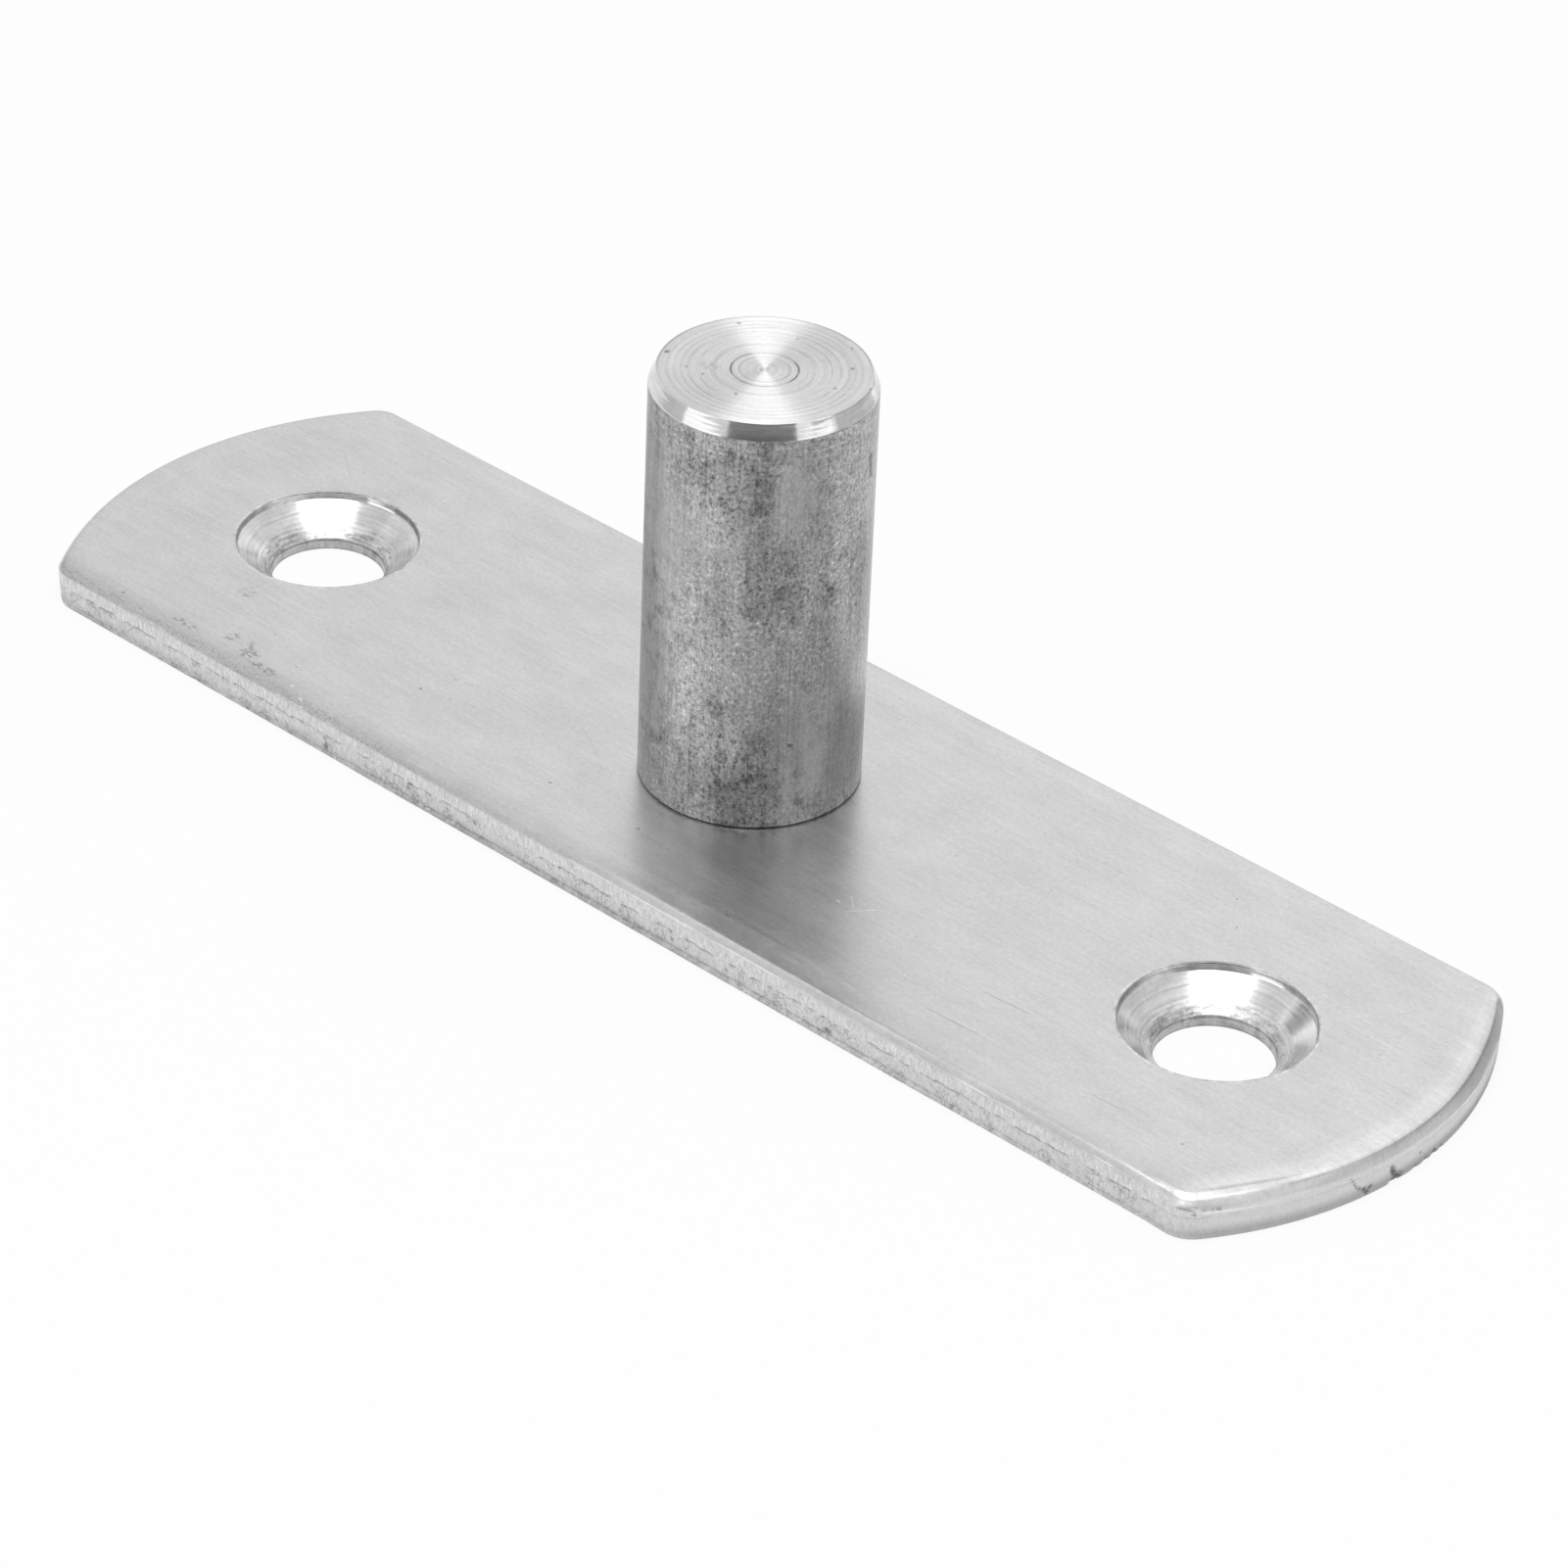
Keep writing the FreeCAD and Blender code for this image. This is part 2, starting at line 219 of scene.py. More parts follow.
def sweep_tree():
    """Sweeps a section along a closed path, with the roll, tear and grain that each point asks for."""
    tree = bpy.data.node_groups.new("swept_section", "GeometryNodeTree")
    tree.interface.new_socket("Geometry", in_out="OUTPUT", socket_type="NodeSocketGeometry")
    tree.interface.new_socket("Geometry", in_out="INPUT", socket_type="NodeSocketGeometry")
    tree.interface.new_socket("Section", in_out="INPUT", socket_type="NodeSocketObject")
    tree.interface.new_socket("Dents", in_out="INPUT", socket_type="NodeSocketObject")
    tree.interface.new_socket("Steps", in_out="INPUT", socket_type="NodeSocketInt")
    for name in ("Top Height", "Grain Size", "Streak Width", "Streak Length", "Sway Length", "Sway Depth"):
        tree.interface.new_socket(name, in_out="INPUT", socket_type="NodeSocketFloat")
    tree.interface.new_socket("Material", in_out="INPUT", socket_type="NodeSocketMaterial")
    bench = Bench(tree)
    group = bench.place("NodeGroupInput")
    given = {socket.name: Value(bench, socket) for socket in group.outputs if socket.name}

    def named(name, kind="FLOAT"):
        node = bench.place("GeometryNodeInputNamedAttribute", {"data_type": kind}, {"Name": name})
        return bench.result(node, "Attribute")

    def geometry(kind, settings, sockets, output="Geometry"):
        return bench.result(bench.place(kind, settings, sockets), output)

    path = geometry("GeometryNodeMeshToCurve", None, {"Mesh": given["Geometry"]}, "Curve")
    path = geometry("GeometryNodeResampleCurve", None, {"Curve": path, "Count": given["Steps"]}, "Curve")
    here = bench.result(bench.place("GeometryNodeInputPosition"), "Position")
    path = geometry(
        "GeometryNodeStoreNamedAttribute",
        {"data_type": "FLOAT_VECTOR", "domain": "POINT"},
        {"Geometry": path, "Name": "base", "Value": here},
    )
    section = geometry("GeometryNodeObjectInfo", None, {"Object": given["Section"]})
    section = geometry("GeometryNodeMeshToCurve", None, {"Mesh": section}, "Curve")
    wall = geometry("GeometryNodeCurveToMesh", None, {"Curve": path, "Profile Curve": section}, "Mesh")

    base = named("base", "FLOAT_VECTOR")
    out = named("out", "FLOAT_VECTOR")
    follow = named("follow")
    across = named("across") * (1 + follow * (named("roll_in") - 1))
    drop = (given["Top Height"] - named("rise")) * (1 + follow * (named("roll_down") - 1))
    drop = drop + named("slump") * named("sag")
    cell = bench.cells(bench.vector_math("SCALE", base, scale=1 / given["Sway Length"]), 1.0)
    rise = given["Top Height"] - drop + named("tear") * given["Sway Depth"] * (0.3 - cell * cell)
    across = across + named("lip") * named("lip_out") - named("ragged") * named("recess")

    def placed(across, rise):
        level = bench.vector_math("ADD", base, bench.vector_math("SCALE", out, scale=across))
        return bench.vector_math("ADD", level, bench.vector(0.0, 0.0, rise))

    smooth_place = placed(across, rise)
    place_x, place_y, place_z = bench.parts(smooth_place)
    grain_place = bench.vector_math("SCALE", smooth_place, scale=1 / given["Grain Size"])
    grain = bench.noise(grain_place, 1.0, 3.0, 0.6) * 2
    width = given["Streak Width"]
    streak_place = bench.vector(place_x / width, place_y / width, place_z / given["Streak Length"])
    streak = bench.noise(streak_place, 1.0, 2.0, 0.5) * 2

    dents = geometry("GeometryNodeObjectInfo", None, {"Object": given["Dents"]})
    nearest = geometry(
        "GeometryNodeSampleNearest",
        None,
        {"Geometry": dents, "Sample Position": smooth_place},
        "Index",
    )

    def of_nearest(value, kind):
        sockets = {"Geometry": dents, "Value": value, "Index": nearest}
        return geometry("GeometryNodeSampleIndex", {"data_type": kind, "domain": "POINT"}, sockets, "Value")

    middle = of_nearest(here, "FLOAT_VECTOR")
    between = {"Vector": smooth_place, "Vector_001": middle}
    distance = bench.place("ShaderNodeVectorMath", {"operation": "DISTANCE"}, between)
    share = bench.result(distance, "Value") / of_nearest(named("reach"), "FLOAT") - grain
    dent = bench.fade(share, 1.1, 0.3)
    push = dent * of_nearest(named("depth"), "FLOAT")
    across = across + named("grain_out") * grain + named("streak") * streak - push * named("side")
    rise = rise + named("grain_up") * grain - push * (1 - named("side"))
    wall = geometry(
        "GeometryNodeStoreNamedAttribute",
        {"data_type": "FLOAT", "domain": "POINT"},
        {"Geometry": wall, "Name": "dent", "Value": dent},
    )
    wall = geometry("GeometryNodeSetPosition", None, {"Geometry": wall, "Position": placed(across, rise)})
    wall = geometry("GeometryNodeSetShadeSmooth", None, {"Geometry": wall, "Shade Smooth": True})
    wall = geometry("GeometryNodeRealizeInstances", None, {"Geometry": wall})
    wall = geometry("GeometryNodeSetMaterial", None, {"Geometry": wall, "Material": given["Material"]})
    bench.place("NodeGroupOutput", None, {tree.interface.items_tree["Geometry"].identifier: wall})
    return tree


def line_object(name, points, closed, values):
    """A chain of edges whose points carry named values for the sweep."""
    mesh = bpy.data.meshes.new(name)
    count = len(points)
    edges = [(index, (index + 1) % count) for index in range(count if closed else count - 1)]
    mesh.from_pydata(points, edges, [])
    for value_name, column in values.items():
        is_vector = hasattr(column[0], "__len__")
        layer = mesh.attributes.new(value_name, "FLOAT_VECTOR" if is_vector else "FLOAT", "POINT")
        for cell, item in zip(layer.data, column):
            if is_vector:
                cell.vector = item
            else:
                cell.value = item
    line = bpy.data.objects.new(name, mesh)
    bpy.context.scene.collection.objects.link(line)
    return line


def section_object(name, rows):
    """A section for the sweep. Each row gives across and rise, and any other of SECTION_VALUES."""
    columns = {value_name: [] for value_name in SECTION_VALUES}
    lengths = ("across", "rise", "sag", "recess", "lip_out", "grain_out", "grain_up", "streak")
    for row in rows:
        for value_name in SECTION_VALUES:
            unit = MM if value_name in lengths else 1.0
            columns[value_name].append(row.get(value_name, 0.0) * unit)
    points = [(across, 0.0, rise) for across, rise in zip(columns["across"], columns["rise"])]
    return line_object(name, points, False, columns)


def dents_object():
    """One point for each dent of the part, with its reach and depth."""
    arc_centre = PLATE_LENGTH / 2 - END_RADIUS
    dents = [(x, -PLATE_WIDTH / 2, height, reach, depth) for x, height, reach, depth in FRONT_DENTS]
    dents += [(x, y, PIN_TOP, reach, depth) for x, y, reach, depth in END_FACE_PITS]
    for centre, radius, table in ((arc_centre, END_RADIUS, END_DENTS), (0.0, PIN_RADIUS, PIN_DENTS)):
        for degrees, height, reach, depth in table:
            angle = math.radians(degrees)
            x = centre + radius * math.cos(angle)
            y = radius * math.sin(angle)
            dents.append((x, y, height, reach, depth))
    points = [(x * MM, y * MM, height * MM) for x, y, height, reach, depth in dents]
    values = {"reach": [dent[3] * MM for dent in dents], "depth": [dent[4] * MM for dent in dents]}
    return line_object("dents", points, False, values)


def swept_piece(name, tree, path, section, dents, material, sizes):
    """Runs the sweep on a path and gives back a plain mesh object."""
    modifier = path.modifiers.new("sweep", "NODES")
    modifier.node_group = tree
    for item in tree.interface.items_tree:
        if item.in_out != "INPUT" or item.name == "Geometry":
            continue
        if item.name == "Section":
            modifier[item.identifier] = section
        elif item.name == "Dents":
            modifier[item.identifier] = dents
        elif item.name == "Material":
            modifier[item.identifier] = material
        else:
            modifier[item.identifier] = sizes[item.name]
    graph = bpy.context.evaluated_depsgraph_get()
    mesh = bpy.data.meshes.new_from_object(path.evaluated_get(graph))
    bpy.data.objects.remove(path)
    bpy.data.objects.remove(section)
    piece = bpy.data.objects.new(name, mesh)
    bpy.context.scene.collection.objects.link(piece)
    return piece


def smooth_between(value, start, end):
    share = min(1.0, max(0.0, (value - start) / (end - start)))
    return share * share * (3 - 2 * share)


# Paths

def circle_path(name, centre_x, radius, count):
    points = []
    outward = []
    for index in range(count):
        angle = math.radians(SEAM_ANGLE) + 2 * math.pi * index / count
        way = Vector((math.cos(angle), math.sin(angle), 0.0))
        outward.append(way)
        points.append(Vector((centre_x * MM, 0.0, 0.0)) + way * radius * MM)
    plain = {"roll_in": 1.0, "roll_down": 1.0, "slump": 0.0, "ragged": 1.0, "scuff": 0.0, "lip": 0.0}
    columns = {value_name: [plain[value_name]] * count for value_name in PATH_VALUES}
    return line_object(name, points, True, {"out": outward, **columns})


def outline_points():
    """Points round the plate's outline from the middle of its back side, with the way out at each."""
    half_width = PLATE_WIDTH / 2
    arc_centre = PLATE_LENGTH / 2 - END_RADIUS
    inner = half_width - CORNER_RADIUS
    reach = END_RADIUS - CORNER_RADIUS
    corner_x = arc_centre + math.sqrt(reach * reach - inner * inner)
    join_angle = math.atan2(inner, corner_x - arc_centre)
    step = 0.1
    quarter = []
    for index in range(int(corner_x / step)):
        quarter.append((index * step, half_width, 0.0, 1.0))
    corner_steps = 36
    for index in range(corner_steps):
        angle = math.pi / 2 + (join_angle - math.pi / 2) * index / corner_steps
        way = (math.cos(angle), math.sin(angle))
        quarter.append((corner_x + CORNER_RADIUS * way[0], inner + CORNER_RADIUS * way[1], *way))
    end_steps = int(END_RADIUS * join_angle / step)
    for index in range(end_steps):
        angle = join_angle * (1 - index / end_steps)
        way = (math.cos(angle), math.sin(angle))
        quarter.append((arc_centre + END_RADIUS * way[0], END_RADIUS * way[1], *way))
    tip = (PLATE_LENGTH / 2, 0.0, 1.0, 0.0)
    right_back = quarter + [tip]
    left_back = [(-x, y, -way_x, way_y) for x, y, way_x, way_y in right_back]
    left_front = [(x, -y, way_x, -way_y) for x, y, way_x, way_y in reversed(left_back[1:-1])]
    right_front = [(x, -y, way_x, -way_y) for x, y, way_x, way_y in right_back[:-1]]
    return left_back + left_front + right_front + list(reversed(right_back[1:]))


def edge_character(x, y, way_x, way_y):
    """What the shear did to the edge at this place: PATH_VALUES in their order."""
    front = smooth_between(-way_y, 0.35, 0.9)
    back = smooth_between(way_y, 0.35, 0.9)
    right = (1 - front - back) * (x > 0)
    left = (1 - front - back) * (x < 0)
    corner = smooth_between(min(abs(way_x), abs(way_y)), 0.3, 0.62)
    worn = 1 - smooth_between(x, -24.0, -8.0)
    climb = smooth_between(y, 1.0, 11.0)
    clear = smooth_between(y, -12.5, -5.0)
    lip = smooth_between(x, -24.0, -18.0) * (1 - smooth_between(x, 26.0, 34.0))
    slump = smooth_between(x, 43.0, 47.5) * (1 - smooth_between(y, -13.0, -6.0))
    roll_in = front * (0.8 + 0.2 * worn) + back * 0.75 + left * 0.85
    roll_in += right * (0.95 - 0.48 * clear + 0.45 * climb)
    roll_down = front * 0.9 + back * 1.1 + right * (1.6 + 0.5 * climb) + left * 1.3 + 0.1 * corner
    ragged = front * (1 - 0.8 * smooth_between(x, 44.5, 47.5)) + back * 0.9 + right * 0.05 + left * 0.6
    scuff = front * (0.2 + 0.8 * worn) + back * 0.4 + right * 0.15 + left * 0.4
    return roll_in, roll_down, slump + (1 - slump) * right * 0.55, ragged, scuff, front * lip


def outline_path():
    points = outline_points()
    places = [(x * MM, y * MM, 0.0) for x, y, way_x, way_y in points]
    outward = [(way_x, way_y, 0.0) for x, y, way_x, way_y in points]
    characters = [edge_character(x, y, way_x, way_y) for x, y, way_x, way_y in points]
    columns = dict(zip(PATH_VALUES, zip(*characters)))
    return line_object("plate_outline", places, True, {"out": outward, **columns})


# Sections, from the inside of the top face over the edge to the underside

def shear_section():
    rows = []

    def row(across, rise, **values):
        rows.append({"across": across, "rise": rise, "side": 1.0, **values})

    row(-2.15, PLATE_THICKNESS)
    row(-1.8, PLATE_THICKNESS - 0.01, sag=0.04)
    row(-1.45, PLATE_THICKNESS - 0.024, sag=0.06)
    roll_in, roll_down, roll_steps = 1.0, 0.5, 12
    for index in range(roll_steps + 1):
        share = index / roll_steps
        bent = max(0.0, (share - 0.45) / 0.55)
        drop = 0.045 + 0.1 * share ** 2 + (roll_down - 0.145) * bent ** 1.45
        across = -roll_in * (1 - share) - 0.02
        sag = 0.12 + 0.24 * min(1.0, 1.6 * share)
        row(across, PLATE_THICKNESS - drop, follow=1.0, sag=sag, grain_up=0.003 * share)
    tear_height = 1.66
    wall = PLATE_THICKNESS - roll_down - tear_height
    for share in (0.06, 0.3, 0.55, 0.78, 0.93):
        drop = roll_down + wall * share
        row(
            0.0, PLATE_THICKNESS - drop, follow=roll_down * (1 - share) / drop, sag=0.36 * (1 - share),
            tear=share * share, streak=0.008, grain_out=0.004,
        )
    row(-0.005, tear_height, tear=1.0, streak=0.006, grain_out=0.01)
    # This row's crack value darkens the tear line: partly a real crack, partly painted shade in its recess.
    row(-0.01, tear_height - 0.06, tear=1.0, recess=0.06, grain_out=0.03, torn=0.7, crack=1.0)
    row(0.0, tear_height - 0.14, tear=1.0, recess=0.02, grain_out=0.04, torn=1.0, crack=0.3)
    torn_rows = 9
    for index in range(torn_rows):
        share = index / (torn_rows - 1)
        row(
            -0.02 * share, 1.42 - 0.92 * share, recess=0.03 + 0.07 * share, tear=0.9 * (1 - share),
            grain_out=0.05, grain_up=0.01, torn=1.0, lip_out=-0.02 * share,
        )
    # The crack values of the bottom rows are painted shade along the lower edge.
    row(-0.02, 0.42, recess=0.1, lip_out=-0.09, grain_out=0.03, torn=1.0, crack=0.6)
    row(-0.02, 0.34, recess=0.1, lip_out=-0.04, grain_out=0.03, torn=1.0, crack=0.25)
    row(-0.02, 0.22, recess=0.1, lip_out=0.05, grain_out=0.02, torn=0.8, crack=0.25)
    row(-0.03, 0.11, recess=0.11, lip_out=0.07, grain_out=0.03, torn=1.0, crack=0.4)
    row(-0.06, 0.04, recess=0.1, lip_out=0.05, grain_out=0.04, grain_up=0.02, torn=1.0, crack=0.6)
    row(-0.22, 0.0, torn=0.6)
    row(-0.9, 0.0)
    return section_object("shear_section", rows)


def sink_section(seed):
    """A countersunk screw hole: rim, tool-marked cone and through hole."""
    chance = random.Random(seed)
    reach = SINK_RADIUS - HOLE_RADIUS
    rows = []

    def row(across, rise, **values):
        rows.append({"across": across, "rise": rise, **values})

    row(0.9, PLATE_THICKNESS)
    row(0.22, PLATE_THICKNESS)
    row(0.1, PLATE_THICKNESS + 0.001, grain_up=0.003)
    row(0.03, PLATE_THICKNESS + 0.002, grain_up=0.004, torn=0.3)
    # The crack values of the rim wall's rows, and of the bore's rows below, are painted shade on these steep
    # walls.
    row(0.0, 2.97, grain_out=0.006, crack=0.3)
    row(-0.01, 2.86, grain_out=0.004, crack=0.6)
    row(-0.025, 2.74, grain_out=0.004, crack=0.7)
    row(-0.03, 2.62, grain_out=0.004, crack=1.0)
    row(-0.055, 2.56, grain_out=0.004, crack=0.8)
    cone_rows = 30
    for index in range(cone_rows):
        share = index / (cone_rows - 1)
        mark = chance.uniform(-1.0, 1.0) * (0.004 + 0.02 * smooth_between(share, 0.45, 1.0))
        row(
            -0.1 - 2.12 * share + 0.64 * mark, 2.52 - 1.75 * share + 0.77 * mark,
            grain_up=0.004 + 0.036 * smooth_between(share, 0.5, 1.0), torn=smooth_between(share, 0.5, 0.8),
        )
    row(0.01 - reach, 0.74, grain_out=0.03, grain_up=0.03, torn=1.0)
    row(-0.02 - reach, 0.66, grain_out=0.02, torn=1.0, crack=1.0)
    for rise in (0.52, 0.38, 0.24, 0.12):
        row(-0.01 - reach - 0.06 * (0.7 - rise), rise, grain_out=0.003, torn=0.6, crack=0.35)
    row(-0.06 - reach, 0.04, grain_out=0.01, torn=1.0, crack=1.0)
    row(-0.05 - reach, 0.0)
    row(-1.2, 0.0)
    return section_object("sink_section", rows)


def bore_section():
    """The bore for the spigot, with the countersink for the rivet head at the back."""
    sink = RIVET_SINK_RADIUS - BORE_RADIUS
    rows = [
        {"across": 1.2, "rise": PLATE_THICKNESS},
        {"across": 0.0, "rise": PLATE_THICKNESS},
        {"across": 0.0, "rise": 2.2},
        {"across": 0.0, "rise": sink},
        {"across": sink / 2, "rise": sink / 2},
        {"across": sink, "rise": 0.0},
        {"across": sink + 0.9, "rise": 0.0},
    ]
    return section_object("bore_section", rows)


def pin_section(seed):
    """The turned pin from the middle of its faced end down to the middle of its rivet head."""
    chance = random.Random(seed)
    rows = []

    def turn(radius, height, **values):
        rows.append({"across": radius - PIN_RADIUS, "rise": height, **values})

    turn(0.0, PIN_TOP + 0.02)
    turn(0.12, PIN_TOP + 0.018)
    turn(0.24, PIN_TOP - 0.01, crack=0.6)
    radius = 0.34
    pitch = 0.0625
    next_ring = 0.5
    trail = 0.0
    # Each ring's crack value deepens its groove and darkens it; the darkening is painted shade in the groove.
    while radius < END_FACE_RADIUS - 0.1:
        scratch = chance.uniform(0.0, 0.0015)
        if trail:
            turn(radius, PIN_TOP - 0.004 * trail, crack=trail)
            trail = 0.0
        elif radius >= next_ring:
            deepest = next_ring > 1.85 and next_ring < 2.15
            crack = 1.0 if deepest else chance.uniform(0.15, 0.5)
            turn(radius, PIN_TOP - 0.009 * crack - 0.014 * deepest, crack=crack)
            trail = 0.6 * crack
            next_ring = 2.0 if radius < 1.6 and radius > 1.2 else radius + chance.uniform(0.38, 0.52)
        else:
            turn(radius, PIN_TOP - scratch)
        radius += pitch
    turn(END_FACE_RADIUS - 0.05, PIN_TOP - 0.002, grain_up=0.003)
    turn(END_FACE_RADIUS, PIN_TOP - 0.02, grain_up=0.006, grain_out=0.006)
    chamfer_rows = 14
    for index in range(1, chamfer_rows):
        share = index / chamfer_rows
        mark = chance.uniform(-0.004, 0.004)
        turn(
            END_FACE_RADIUS + (PIN_RADIUS - END_FACE_RADIUS) * share + mark,
            PIN_TOP - 0.02 - (PIN_TOP - 0.02 - CHAMFER_FOOT) * share,
            grain_out=0.003,
        )
    turn(PIN_RADIUS - 0.01, CHAMFER_FOOT, grain_out=0.008)
    side_rows = 150
    foot = PLATE_THICKNESS + 0.15
    for index in range(side_rows + 1):
        share = index / side_rows
        height = CHAMFER_FOOT - 0.05 - (CHAMFER_FOOT - 0.05 - foot) * share
        turn(PIN_RADIUS, height, streak=0.01, grain_out=0.01, side=1.0)
    # The crack value here is painted shade where the pin meets the plate.
    turn(PIN_RADIUS - 0.15, PLATE_THICKNESS, crack=1.0)
    turn(SPIGOT_RADIUS, PLATE_THICKNESS)
    turn(SPIGOT_RADIUS, 2.2)
    turn(SPIGOT_RADIUS, RIVET_SINK_RADIUS - BORE_RADIUS)
    head_radius = RIVET_SINK_RADIUS - 0.02 - RIVET_HEAD_HEIGHT
    turn((SPIGOT_RADIUS + head_radius) / 2, 0.75)
    turn(head_radius, RIVET_HEAD_HEIGHT + 0.02, grain_up=0.02, grain_out=0.02)
    head_rows = 26
    for index in range(head_rows):
        share = index / (head_rows - 1)
        dish = 0.05 * (1 - share) ** 2 if share < 0.4 else 0.0
        rough = 0.03 * min(1.0, 2 * share * (1 - share))
        turn((head_radius - 0.15) * (1 - share), RIVET_HEAD_HEIGHT + dish, grain_up=rough)
    return section_object("pin_section", rows)


# Finishes

class Finish(Bench):
    """A metal finish: one Principled shader that reads places on the object."""

    def __init__(self, name):
        self.material = bpy.data.materials.new(name)
        self.material.use_nodes = True
        tree = self.material.node_tree
        tree.nodes.clear()
        super().__init__(tree)
        self.spot = self.result(self.place("ShaderNodeTexCoord"), "Object")
        self.x, self.y, self.z = self.parts(self.spot)

    def stretched(self, x_scale, y_scale, z_scale):
        return self.vector_math("MULTIPLY", self.spot, (x_scale, y_scale, z_scale))

    def carried(self, name):
        node = self.place("ShaderNodeAttribute", {"attribute_name": name, "attribute_type": "GEOMETRY"})
        return self.result(node, "Fac")

    def near(self, x, y, z, reach_x, reach_y, reach_z):
        """1 in the middle of a patch of the surface, fading to 0 at its reach. Millimetres."""
        offset = self.vector_math("SUBTRACT", self.spot, (x * MM, y * MM, z * MM))
        reach = (1 / (reach_x * MM), 1 / (reach_y * MM), 1 / (reach_z * MM))
        scaled = self.vector_math("MULTIPLY", offset, reach)
        node = self.place("ShaderNodeVectorMath", {"operation": "LENGTH"}, {"Vector": scaled})
        return self.fade(self.result(node, "Value"), 1.0, 0.35)

    def patches(self, table):
        """The sum of several patches, each a row of near's values and a strength."""
        total = 0.0
        for *patch, strength in table:
            total = self.near(*patch) * strength + total
        return total

    def patches_around(self, table):
        """The sum of patches on the pin's side: angle round it, height, reach, reach upward, strength."""
        total = 0.0
        for degrees, height, reach, reach_up, strength in table:
            angle = math.radians(degrees)
            place = (PIN_RADIUS * math.cos(angle), PIN_RADIUS * math.sin(angle), height)
            total = self.near(*place, reach, reach, reach_up) * strength + total
        return total

    def layer(self, low, low_full, high_full, high):
        """1 between two heights, fading to 0 outside them. Millimetres."""
        return self.fade(self.z, low * MM, low_full * MM) * self.fade(self.z, high * MM, high_full * MM)

    def scratches(self, table):
        """The sum of several scratches, each a row of scratch's values and a strength."""
        total = 0.0
        for *line, strength in table:
            total = self.scratch(*line) * strength + total
        return total

    def scratch(self, x, y, degrees, half_length, half_width):
        """A straight scratch on a level face, 1 along its middle. Millimetres."""
        along_x = math.cos(math.radians(degrees))
        along_y = math.sin(math.radians(degrees))
        from_x = self.x - x * MM
        from_y = self.y - y * MM
        along = (from_x * along_x + from_y * along_y) / (half_length * MM)
        beside = (from_y * along_x - from_x * along_y) / (half_width * MM)
        return self.fade(along * along + beside * beside, 1.0, 0.2)

    def finish(self, tone, roughness, height, anisotropy=0.0, turn=0.0):
        """Joins a grey tone, a roughness and a height in metres to the shader."""
        bump = self.place("ShaderNodeBump", None, {"Strength": 1.0, "Distance": 1.0, "Height": height})
        grey = self.clamp(tone)
        colour = self.place("ShaderNodeCombineColor", None, {"Red": grey, "Green": grey, "Blue": grey})
        sockets = {
            "Base Color": self.result(colour, "Color"),
            "Metallic": 1.0,
            "Roughness": roughness,
            "Normal": self.result(bump, "Normal"),
            "Anisotropic": anisotropy,
            "Anisotropic Rotation": turn,
        }
        shader = self.place("ShaderNodeBsdfPrincipled", None, sockets)
        self.place("ShaderNodeOutputMaterial", None, {"Surface": self.result(shader, "BSDF")})
        return self.material


class StripFinish(Finish):
    """A finish of the steel strip, with the marks of rolling and wiping that its skin carries."""

    def __init__(self, name):
        super().__init__(name)
        lines = self.noise(self.stretched(240, 3300, 240), 1.0, 4.0, 0.62)
        grain = self.noise(self.stretched(3000, 4200, 3000), 1.0, 4.0, 0.68)
        cloud = self.noise(self.stretched(240, 360, 240), 1.0, 4.0, 0.6)
        # Painted shade along the front edge of the top, strongest at the left.
        front_edge_shade = self.fade(self.y, -12.2 * MM, -14.9 * MM) * self.fade(self.x, 18 * MM, -18 * MM, 0.5, 1.0)
        self.skin_tone = (lines * 0.14 + grain * 0.26 + cloud * 0.15 + 0.6) * (1 - 0.19 * front_edge_shade) - 0.6
        self.skin_roughness = lines * 0.12 + cloud * 0.14
        self.skin_height = lines * 4.5e-6 + grain * 1.5e-6
        top = PLATE_THICKNESS
        knocked = self.patches((
            (-31.3, -13.3, top, 1.1, 0.8, 1.0, 1.2),
            (-32.0, -12.7, top, 0.5, 0.8, 1.0, 0.8),
            (-29.3, -13.9, top, 1.8, 0.5, 1.0, 1.1),
            (-33.4, -12.8, top, 0.6, 0.9, 1.0, 0.9),
            (-36.8, -13.8, top, 1.7, 0.4, 1.0, 0.9),
            (-36.8, -8.4, top, 0.9, 0.9, 1.0, 0.6),
            (10.4, -12.6, top, 1.2, 0.6, 1.0, 0.8),
        ))
        nick_grain = self.noise(self.stretched(2400, 4200, 2400), 1.0, 2.0, 0.6)
        pricks = self.patches((
            (-20.7, -8.4, top, 0.16, 0.16, 1.0, 1.0),
            (-42.3, -14.1, top, 0.16, 0.16, 1.0, 1.0),
            (-7.4, -10.2, top, 0.18, 0.14, 1.0, 1.0),
            (0.0, -9.9, top, 0.18, 0.14, 1.0, 1.0),
            (44.4, -10.9, top, 0.14, 0.12, 1.0, 0.8),
        ))
        self.nicks = self.clamp(self.clamp(knocked) * self.fade(nick_grain, -0.01, 0.07) + pricks)
        # Three painted highlights: small white glints on the top.
        self.painted_glints = self.patches((
            (-26.6, -14.0, top, 0.24, 0.14, 1.0, 1.0),
            (-25.2, -14.6, top, 0.3, 0.12, 1.0, 1.0),
            (13.9, -6.9, top, 0.26, 0.14, 1.0, 1.0),
        ))


